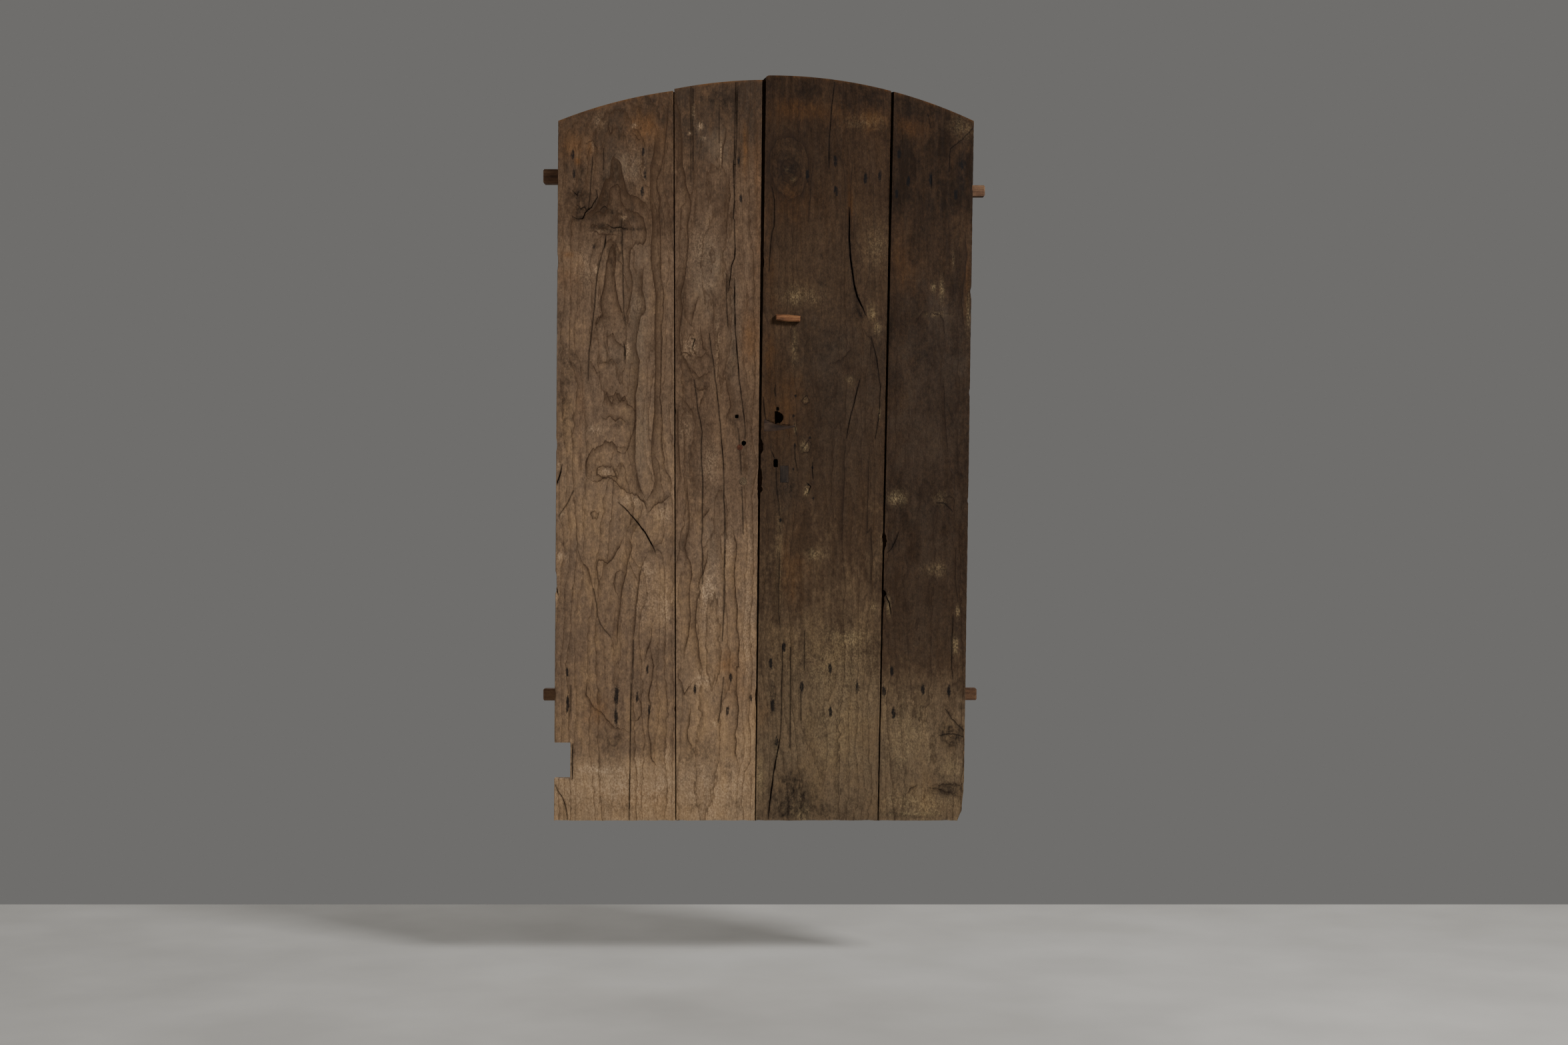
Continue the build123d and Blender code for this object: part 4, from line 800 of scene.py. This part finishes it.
left_inner_figure = [
    (0.7, 6, -204, 1274, -190, 1262, -180, 1250, -171, 1247, -160, 1250, -150, 1256),
    (0.8, 6, -198, 1220, -186, 1206, -178, 1196, -171, 1193, -156, 1198, -139, 1211),
    (0.7, -6, -193, 1175, -182, 1164, -168, 1154, -156, 1158, -145, 1166),
    (1.0, 8, -238, 1959, -233, 1923, -225, 1898, -224, 1862, -219, 1826, -221, 1795, -219, 1759, -212, 1739,
     -211, 1708, -202, 1678, -196, 1662, -197, 1637, -204, 1598, -205, 1583, -204, 1552, -206, 1511,
     -211, 1476, -215, 1445, -223, 1409, -219, 1378, -223, 1338, -227, 1307, -226, 1286, -223, 1261,
     -210, 1235, -200, 1215, -189, 1184),
    (0.6, 4, -102, 1857, -103, 1836, -110, 1811, -113, 1759, -118, 1739),
    (0.7, 5, -92, 1734, -94, 1708, -90, 1678, -95, 1657, -97, 1626, -100, 1593, -100, 1573, -95, 1557),
    (0.7, -5, -169, 1327, -170, 1312, -164, 1271, -154, 1256, -143, 1240),
    (0.8, 3, -225, 1248, -215, 1261, -202, 1253, -192, 1245, -184, 1253),
    (0.5, 6, -174, 1412, -179, 1394, -189, 1358, -194, 1327),
    (0.5, 8, -120, 1338, -125, 1297, -120, 1256, -123, 1205),
    (0.6, -6, -105, 1202, -100, 1171, -95, 1146, -90, 1115, -100, 1084, -102, 1064),
    (0.5, 5, -230, 1120, -231, 1079, -229, 997, -225, 946, -223, 905),
    (0.6, 5, -207, 916, -205, 875, -201, 834, -200, 790, -205, 765, -211, 734, -207, 714, -197, 688,
     -194, 662, -200, 632, -200, 596, -197, 545, -202, 499, -212, 463, -215, 432),
    (0.5, -5, -161, 1146, -169, 1130, -174, 1105), (0.5, 6, -143, 844, -159, 818, -171, 798),
    (0.9, 9, -151, 724, -154, 693, -161, 668, -171, 652, -174, 632, -171, 614, -179, 591, -182, 555,
     -184, 524, -177, 483, -174, 443, -166, 402),
    (0.9, 6, -85, 790, -79, 765, -72, 742, -77, 703, -79, 657, -74, 596, -72, 575, -74, 524, -67, 483,
     -69, 443, -67, 412, -72, 414, -74, 348, -69, 297, -72, 251, -79, 235, -73, 210, -77, 184, -69, 148),
    (0.5, 3, -230, 414, -230, 384, -220, 363, -215, 338, -205, 353, -189, 373),
    (0.6, 4, -197, 312, -200, 261, -207, 240, -205, 220, -194, 200, -197, 184),
    (0.4, 4, -235, 1151, -215, 1130, -194, 1100, -187, 1069),
]
left_inner_nails = [(-68, 1773), (-61, 1673), (-185, 355), (-89, 386), (-98, 293), (-37, 329)]
left_inner_look = grained(
    pith=[(0, -150, 60), (500, -140, 46), (1000, -120, 70), (1500, -132, 52), (2000, -120, 80)],
    spacing=17.0,
    swells=[(-192, 1285, 16, 60, 1.6), (-190, 1720, 20, 110, 1.4), (-165, 860, 16, 70, 1.0)],
    knots=[(-192, 1285, 9)],
    cracks=left_inner_cracks, figure=left_inner_figure, heads=left_inner_nails,
    smudges=nail_stains(left_inner_nails, 2.2, 7.0, 0.8),
    soot=[(-200, 38, 40, 16, 0.4), (-70, 44, 40, 24, 0.4), (-109, 1936, 30, 36, 0.6),
        (-125, 1931, 34, 8, 0.5), (-229, 1770, 12, 50, 0.45), (-184, 1708, 30, 10, 0.35),
        (-67, 1778, 5, 26, 0.95), (-62, 1673, 6, 7, 0.8), (-200, 1836, 5, 8, 0.9), (-189, 1734, 5, 10, 0.7),
        (-217, 1447, 10, 50, 0.35), (-86, 1435, 9, 50, 0.55), (-84, 1238, 12, 50, 0.6),
        (-222, 1337, 6, 10, 0.6), (-164, 1163, 18, 30, 0.5), (-215, 1174, 10, 18, 0.5),
        (-76, 1070, 24, 20, 0.5), (-189, 915, 16, 70, 0.4), (-217, 739, 8, 20, 0.6), (-182, 184, 44, 34, 0.6),
        (-97, 130, 16, 24, 0.45), (-39, 330, 7, 6, 0.6)],
    pale=[(-190, 1900, 3, 22, 0.8), (-173, 1864, 7, 13, 0.8), (-197, 1846, 6, 4, 0.8),
        (-163, 1833, 6, 5, 0.6), (-115, 1791, 1.5, 30, 1), (-199, 1272, 18, 24, 0.6),
        (-165, 1540, 30, 50, 0.3), (-155, 1440, 24, 14, 0.3), (-124, 1270, 5, 66, 0.55),
        (-146, 960, 20, 50, 0.35), (-212, 1052, 16, 34, 0.3), (-155, 618, 18, 28, 0.9),
        (-150, 600, 30, 120, 0.4), (-91, 720, 12, 60, 0.5), (-43, 550, 18, 190, 0.45),
        (-164, 376, 26, 20, 0.6), (-133, 261, 8, 8, 0.7), (-130, 70, 110, 70, 0.6), (-51, 210, 20, 60, 0.35)],
    warm=[(-51, 1821, 6, 60, 0.6), (-16, 1700, 10, 300, 0.35), (-40, 1307, 30, 60, 0.45),
        (-100, 420, 18, 26, 0.5), (-70, 380, 40, 80, 0.3)],
    grey=[(-150, 1480, 40, 110, 0.5), (-140, 700, 24, 130, 0.5), (-80, 1290, 14, 120, 0.5),
        (-130, 1800, 40, 50, 0.4)],
    # Lighter towards the foot; the values below zero at the top paint shade
    bleach=[(0, 1.15), (140, 0.95), (220, 0.84), (450, 0.76), (750, 0.55), (900, 0.32), (1100, 0.2),
        (1500, 0.26), (1700, 0.14), (1850, -0.16), (2000, -0.2)],
    seed=200)
plank("left_inner_board", "left_inner_plank", [left_oak, left_end_oak],
      (-235.45, -5.5), (-24.45, 20.5), arched(8.05, 1990.0), ("rebate", "rebate"),
      ([(1100, 9, 1.6)], [(330, 26, 2.4), (905, 40, 2.2)]),
      # Holes: the square one, the round one, the peg's rim and the plug's rim. The last number of each is how
      # dark its inside is painted, which is painted shade
      [(oblong, ((-72.9, 1086.0), 5.0, 5.0), 35.4, 1.0), (oval, ((-54.0, 1014.5), 6.5, 6.5), 35.4, 1.0),
       (oval, ((-55.8, 912.0), 10.6, 10.6), 2.0, 0.6), (oval, ((-64.6, 1003.0), 7.6, 7.6), 2.0, 0.6)],
      left_inner_look)

# Right inner plank
right_inner_cracks = [
    (3.4, 229, 1646, 230, 1597, 229, 1565, 232, 1516, 237, 1478),
    (5.0, 230, 1549, 232, 1516, 237, 1478, 242, 1440, 250, 1408, 264, 1380, 273, 1359),
    (1.2, 288, 1299, 302, 1245, 310, 1185), (1.4, 22, 1700, 28, 1667, 27, 1597, 22, 1581, 17, 1543, 14, 1478),
    (1.2, 190, 1983, 182, 1917, 175, 1825, 174, 1754),
    (1.8, 258, 1186, 250, 1159, 242, 1121, 234, 1094, 227, 1061, 222, 1028),
    (1.3, 307, 1202, 313, 1169, 310, 1104, 307, 1077, 299, 1028),
    (0.8, 50, 470, 48, 362, 47, 349, 47, 279, 44, 225), (2.6, 44, 225, 36, 181, 25, 121, 17, 62, 11, 8),
    (0.8, 71, 465, 71, 362, 71, 349, 70, 197), (0.7, 99, 344, 99, 273), (1.0, 31, 1169, 29, 1153, 32, 1140),
    (1.0, -2, 1137, 2, 1094, 6, 1075), (1.2, 22, 988, 28, 974), (0.7, 33, 947, 34, 898, 39, 855, 41, 822),
    (1.4, 83, 1064, 86, 1039), (1.0, 82, 1009, 83, 974, 90, 942), (1.4, 131, 963, 130, 942, 132, 920),
    (1.6, 117, 906, 125, 898, 117, 877), (0.6, 109, 508, 108, 411),
]
right_inner_figure = [
    (0.25, 16, 125, 1678, 117, 1722, 120, 1770, 109, 1814, 71, 1838, 33, 1830, 17, 1792, 14, 1743, 33, 1695,
     66, 1670, 98, 1678, 117, 1722),
    (0.4, 9, 52, 1770, 66, 1779, 93, 1765, 101, 1732, 79, 1705, 50, 1722, 44, 1754, 52, 1770),
    (0.5, 9, 237, 1770, 234, 1722, 233, 1646, 234, 1614, 234, 1581),
    (0.5, 6, 131, 1765, 125, 1689, 120, 1597),
    (0.5, 6, 174, 1223, 196, 1234, 212, 1239, 234, 1267, 229, 1283),
    (0.5, 8, 283, 1234, 288, 1288, 267, 1321),
    (0.6, 4, 117, 1142, 107, 1137, 101, 1126, 112, 1118, 123, 1126, 117, 1142),
    (0.6, 4, 109, 1012, 101, 1001, 107, 990, 120, 990, 128, 1012, 120, 1023, 109, 1012),
    (0.4, 8, 218, 1023, 215, 898, 210, 773, 212, 790, 210, 741),
    (0.4, 6, 283, 974, 280, 877, 277, 773, 288, 790, 291, 703, 288, 611), (0.4, 9, 44, 736, 39, 611, 44, 508),
    (0.4, 6, 98, 1890, 93, 1852, 98, 1841),
]
right_inner_nails = [(116, 1734), (192, 1773), (194, 1690), (274, 1726), (312, 1730), (18, 425), (23, 309),
    (54, 469), (102, 361), (178, 409), (178, 293), (250, 357), (34, 216)]
small_holes = [(84, 1142), (80, 1086), (82, 1009), (80, 945), (123, 1029), (130, 950), (119, 905), (134, 866),
    (44, 807)]
right_inner_look = grained(
    pith=[(0, 150, 90), (500, 140, 70), (1000, 160, 80), (1500, 150, 60), (2000, 140, 90)],
    spacing=15.0,
    swells=[(235, 1500, 26, 160, 1.6), (200, 930, 40, 160, 1.2)],
    knots=[(68, 1750, 24)],
    cracks=right_inner_cracks, figure=right_inner_figure, heads=right_inner_nails,
    smudges=nail_stains(right_inner_nails, 2.5, 7.5, 1.05) + [(x, z, 3.0, 4.4, 1.8) for x, z in small_holes]
        + [(66, 900, 30, 30, 0.45), (154, 1513, 5, 9, 0.6), (22, 340, 9, 90, 0.45)],
    # The patches at X 231, 238 and 252, along the wide crack, are painted shade that widens the crack's dark
    # band
    soot=[(62, 1750, 24, 26, 0.8), (84, 96, 34, 40, 0.7), (60, 22, 50, 14, 0.6), (231, 1560, 6, 70, 0.7),
        (238, 1450, 8, 50, 0.8), (252, 1385, 9, 30, 0.8), (98, 1955, 90, 26, 0.45), (270, 1933, 70, 22, 0.5),
        (67, 1754, 52, 86, 0.55), (66, 1749, 16, 18, 0.8), (152, 1765, 12, 30, 0.35),
        (164, 1269, 70, 90, 0.45), (253, 1357, 18, 16, 0.7), (310, 1248, 22, 66, 0.6),
        (166, 1456, 28, 22, 0.35), (175, 1134, 30, 70, 0.3), (55, 885, 24, 16, 0.6), (47, 806, 8, 9, 0.8),
        (258, 1164, 14, 10, 0.5), (-5, 945, 12, 80, 0.5), (9, 700, 20, 90, 0.45), (300, 700, 18, 90, 0.35),
        (80, 56, 64, 46, 0.75), (25, 330, 14, 90, 0.45), (158, 24, 40, 24, 0.5)],
    pale=[(272, 1876, 50, 20, 0.16), (79, 1722, 6, 6, 0.5), (63, 1750, 8, 5, 0.37), (299, 1543, 30, 50, 0.22),
        (290, 1362, 9, 18, 0.56), (305, 1320, 9, 16, 0.56), (83, 1270, 7, 46, 0.37), (85, 1400, 9, 16, 0.37),
        (96, 1412, 50, 24, 0.25), (107, 1003, 10, 12, 0.7), (112, 1131, 8, 7, 0.31), (310, 1094, 2, 13, 0.9),
        (115, 885, 6, 12, 0.9), (234, 1186, 10, 12, 0.31), (85, 1050, 3, 12, 0.7), (139, 715, 26, 14, 0.6),
        (40, 690, 8, 110, 0.4), (231, 492, 40, 16, 0.5), (296, 573, 8, 12, 0.5), (190, 440, 110, 80, 0.35),
        (101, 30, 18, 30, 0.9), (-10, 110, 10, 44, 0.7), (195, 240, 100, 130, 0.4), (35, 187, 4, 26, 0.6)],
    warm=[(285, 1880, 70, 26, 0.45), (66, 1660, 60, 60, 0.3), (100, 1908, 80, 26, 0.5),
        (232, 1648, 6, 60, 0.8), (15, 1467, 18, 120, 0.35), (17, 1237, 18, 60, 0.5), (45, 1110, 50, 90, 0.4),
        (75, 670, 34, 80, 0.4), (0, 300, 16, 60, 0.3)],
    grey=[(200, 1080, 120, 210, 0.65), (170, 1270, 80, 90, 0.5), (300, 1220, 30, 120, 0.5),
        (55, 880, 40, 60, 0.5)],
    # Lighter towards the foot; the values below zero at the top paint shade
    bleach=[(0, 0.95), (60, 1.0), (170, 1.05), (300, 0.95), (500, 0.66), (700, 0.55), (900, 0.36),
        (1100, 0.26), (1300, 0.38), (1500, 0.38), (1700, 0.12), (2000, -0.05)],
    seed=300)


def rounded_top(x):
    """The arch with the corner at the meeting line worn round."""
    radius, corner_x = 11.0, 4.3
    dip = radius - np.sqrt(np.maximum(radius**2 - np.clip(corner_x + radius - x, 0, radius) ** 2, 0))
    return arched(17.05, crown_height)(x) - 0.9 * dip


plank("right_inner_board", "right_inner_plank", [right_oak, right_end_oak],
      (-22.45, 27.5), (305.05, 38.0), rounded_top, ("tongue", "rebate"),
      ([(1005, 20, 6), (917, 30, 4.5), (890, 8, 6), (1500, 14, 2)], [(760, 12, 2)]),
      # Holes: keyhole, slot, the latch's hollow, a notch over the keyhole, both repairs. The last number of
      # each is how dark its inside is painted, which is painted shade
      [(key_shape, ((41.0, 1082.6), 12.0, 17.5), 64.0, 1.0), (oblong, ((31.5, 960.5), 6.0, 11.0), 30.0, 1.0),
       (oval, ((64.8, 1349.0), 9.5, 8.6), 6.0, 0.6),
       (oval, ((36.5, 1106.0), 5.0, 6.0), 5.0, 1.0),
       (crescent, (0.4, 84.0, 1080.3, 1045.7, 1063.3, 1057.7), 1.6, 0.5),
       (oblong, ((55.0, 931.0), 11.3, 22.8), 1.6, 0.5)],
      right_inner_look)

# Right outer plank
right_outer_cracks = [
    (0.9, 559, 1857, 532, 1830, 500, 1803, 497, 1743), (0.7, 440, 1895, 448, 1863),
    (1.3, 508, 552, 505, 487, 504, 411, 505, 404, 507, 382),
    (1.8, 489, 298, 497, 287, 505, 273, 521, 257, 538, 241), (1.4, 473, 230, 505, 233, 538, 225),
    (1.2, 465, 855, 483, 852, 497, 841, 505, 833), (2.6, 320, 617, 325, 609, 337, 584, 341, 557),
    (1.3, 361, 774, 353, 752, 342, 731, 332, 720), (0.8, 450, 1732, 450, 1700),
]
right_outer_figure = [
    (0.5, 9, 538, 1581, 546, 1527, 538, 1456, 532, 1386, 538, 1321),
    (0.7, 7, 440, 1353, 451, 1361, 473, 1359, 483, 1342, 486, 1288),
    (0.5, 7, 500, 1451, 511, 1435, 505, 1397), (0.4, 9, 408, 1332, 418, 1359, 435, 1370),
    (0.4, 7, 483, 1191, 486, 1094, 494, 985), (0.6, 4, 465, 871, 478, 866, 497, 871, 511, 860, 508, 833),
    (0.6, 6, 440, 89, 473, 84, 505, 73, 535, 62), (0.5, 5, 446, 94, 483, 97, 535, 97),
    (0.4, 5, 380, 67, 397, 89, 413, 100), (0.4, 8, 424, 1678, 429, 1624, 424, 1597),
    (0.4, 6, 516, 736, 513, 649, 521, 584),
]
right_outer_nails = [(357, 1685), (364, 1789), (388, 1718), (448, 1721), (532, 1757), (516, 1678), (323, 345),
    (344, 399), (348, 286), (428, 349), (497, 349)]
right_outer_look = grained(
    pith=[(0, 440, 70), (600, 430, 50), (1200, 436, 80), (2000, 430, 70)],
    spacing=17.0,
    swells=[(420, 1300, 40, 200, 1.4), (470, 500, 30, 120, 1.2)],
    knots=[(501, 232, 15)],
    cracks=right_outer_cracks, figure=right_outer_figure, heads=right_outer_nails,
    smudges=nail_stains(right_outer_nails, 2.5, 7.5, 1.05),
    soot=[(528, 1745, 12, 44, 0.8), (506, 228, 24, 30, 1.0), (500, 96, 34, 10, 0.7), (430, 14, 60, 8, 0.5),
        (424, 1890, 80, 26, 0.35), (533, 1765, 12, 36, 0.9), (525, 1700, 12, 24, 0.7),
        (465, 1650, 50, 60, 0.4), (518, 1412, 20, 46, 0.7), (510, 1535, 24, 56, 0.5),
        (443, 1270, 110, 90, 0.3), (518, 1090, 40, 120, 0.35), (440, 840, 110, 60, 0.3),
        (346, 746, 14, 26, 0.8), (323, 616, 8, 8, 0.9), (531, 620, 14, 140, 0.4), (502, 232, 30, 34, 0.8),
        (495, 80, 44, 12, 0.7), (470, 128, 30, 16, 0.4), (535, 70, 10, 50, 0.4), (350, 20, 50, 12, 0.4)],
    pale=[(532, 1865, 28, 30, 0.22), (478, 1427, 5, 30, 0.56), (456, 1433, 6, 14, 0.43),
        (460, 1360, 26, 6, 0.43), (549, 1364, 6, 44, 0.43), (508, 1503, 3, 20, 0.31),
        (355, 866, 20, 17, 0.95), (478, 868, 18, 14, 0.3), (521, 560, 5, 15, 0.8), (513, 470, 7, 24, 0.95),
        (333, 580, 5, 25, 0.8), (456, 676, 24, 16, 0.4), (380, 220, 70, 90, 0.45), (505, 140, 30, 24, 0.5),
        (420, 45, 100, 40, 0.6), (405, 18, 60, 5, 0.9)],
    warm=[(383, 1862, 40, 24, 0.5), (370, 1500, 30, 60, 0.3), (543, 1430, 8, 80, 0.4),
        (420, 60, 80, 40, 0.3)],
    grey=[(440, 960, 150, 400, 0.8), (480, 1300, 90, 160, 0.6), (420, 520, 110, 90, 0.4)],
    # Lighter towards the foot; the values below zero at the top paint shade
    bleach=[(0, 1.0), (200, 1.0), (320, 0.82), (450, 0.45), (600, 0.2), (900, 0.06), (1300, 0.0), (1500, 0.1),
        (1700, -0.1), (2000, -0.06)],
    seed=400)


def cut_top(x):
    """The arch with the corner sawn off at the right edge."""
    corner_x, corner_z, cut = 564.6, 1899.0, 19.0
    curve = arched(17.05, crown_height)(x)
    return np.where(x > corner_x - cut, np.minimum(curve, corner_z + corner_x - cut - x), curve)


plank("right_outer_board", "right_outer_plank", [right_oak, right_end_oak],
      (307.55, 42.0), (536.05, 30.0), cut_top, ("tongue", "plain"),
      ([(611, 9, 9), (750, 22, 5), (590, 20, 3)], [(1150, 10, 2), (860, 8, 2), (1420, 16, 2.5), (1700, 9, 2)]),
      [], right_outer_look, foot_loss=((0, 17.0), (27, 5.5), (108, 0.0)))

# Fittings that keep their solid's shape, each with what its material gives the eye
finishes = {
    # Riven oak: coarse torn fibres, brown and matt
    "left_upper_ledge left_lower_ledge right_upper_ledge right_lower_ledge":
        board_wood("riven_oak_ledge", ("422D1F", "61442F", "7C5D42"), 0, 1.6, 0.72, 0.7),
    # Hewn hardwood: dull brown, greyed by dust
    "lock_case lock_keeper":
        board_wood("hewn_hardwood_lock", ("3A2A1E", "574130", "725A43"), 0, 1.8, 0.66, 0.6),
    # Whittled and rubbed hardwood: warmer, with a faint shine
    "latch_bar": board_wood("whittled_hardwood_bar", ("5A3820", "7E5330", "9A6E45"), 0, 1.2, 0.5, 0.35),
    "latch_keeper": board_wood("carved_hardwood_keeper", ("4C3220", "70502F", "8A6A48"), 2, 1.5, 0.6, 0.5),
    "latch_pin": board_wood("whittled_oak_pin", ("6A4C30", "8E6C48", "A88862"), 2, 0.9, 0.55, 0.3),
    # Fruitwood polished by hands: orange-brown, the smoothest wood here
    "latch_toggle": board_wood("handled_fruitwood_button", ("4F3320", "7C5134", "986C48"), 0, 1.0, 0.42, 0.3),
    # Let-in repairs: darker than the board round them
    "keyhole_patch": board_wood("let_in_keyhole_repair", ("281B13", "3D2B1F", "533F2F"), 0, 1.6, 0.7, 0.4),
    "slot_patch": board_wood("let_in_slot_repair", ("1A130E", "291F18", "382B21"), 2, 1.6, 0.7, 0.4),
    # Peg and plug ends: rings and pores, the plug redder
    "left_peg": end_grain("oak_peg_end_grain", ("4A3B2C", "65533F", "7E6A52", "3C2C1F"),
                          (-0.054, 0, 0.909), plane_of_face, 3.2),
    "left_plug": end_grain("reddish_plug_end_grain", ("4E2A1C", "6E3F2B", "875440", "3A2016"),
                           (-0.066, 0, 1.002), plane_of_face, 2.6),
    # Forged iron: black-brown with rust in the hammer marks
    "latch_keeper_nails lock_bolt lock_spring lock_nails lock_keeper_nails":
        forged_iron("hand_forged_iron", ("2B2725", "3A2C24", "5A3A26"), 0.75),
    # Nail ends eaten by rust: black and dead matt
    "left_upper_nails left_lower_nails right_upper_nails right_lower_nails":
        forged_iron("rusted_away_nail_ends", ("0A0909", "0D0B0B", "130F0C"), 0.02),
}
for nodes, finish in finishes.items():
    for node in nodes.split():
        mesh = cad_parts[node].data
        mesh.materials.clear()
        mesh.materials.append(finish)

# Floor: pale matt boards under the hanging leaves, faintly mottled so that they don't look flat
floor_mesh = bpy.data.meshes.new("floor")
floor_corners = [(x, y, floor_height) for x, y in ((-6, -9), (6, -9), (6, 0.9), (-6, 0.9))]
floor_mesh.from_pydata(floor_corners, [], [(0, 1, 2, 3)])
floor_paint, paint = blank_material("pale_matt_floor_paint")
spot = add(paint, "TexCoord", out="Object")
mottle = add(paint, "TexNoise", {"Vector": spot, "Scale": 3.0, "Detail": 4.0})
tint = add(paint, "ValToRGB", {"Fac": mottle}, stops=((0.3, linear("BDBAB4")), (0.7, linear("CAC7C1"))))
matt = add(paint, "BsdfPrincipled", {"Base Color": tint, "Roughness": 0.9, "Specular IOR Level": 0.2})
add(paint, "OutputMaterial", {"Surface": matt})
floor_mesh.materials.append(floor_paint)
floor = bpy.data.objects.new("floor", floor_mesh)
bpy.context.scene.collection.objects.link(floor)

# Light: a soft key from the upper right in front, a weak fill from the left, a light for the back, and
# even grey all round
world = bpy.data.worlds.new("even_grey")
bpy.context.scene.world = world
world.use_nodes = True
surround = world.node_tree.nodes["Background"].inputs
surround["Color"].default_value = linear("6E6D6B")
surround["Strength"].default_value = 1.03
leaves_middle = (0.0, 0.0, 1.0)
for light_name, stand, size, power in (
        ("key", (3.0, -2.6, 3.6), 1.1, 199.0), ("fill", (-3.4, -3.6, 1.6), 2.6, 30.0),
        ("back", (-1.6, 3.8, 3.4), 2.4, 75.0)):
    light_data = bpy.data.lights.new(light_name, "AREA")
    light_data.size = size
    light_data.energy = power
    light = bpy.data.objects.new(light_name, light_data)
    light.location = stand
    toward = [a - b for a, b in zip(leaves_middle, stand)]
    light.rotation_euler = Vector(toward).to_track_quat("-Z", "Y").to_euler()
    bpy.context.scene.collection.objects.link(light)
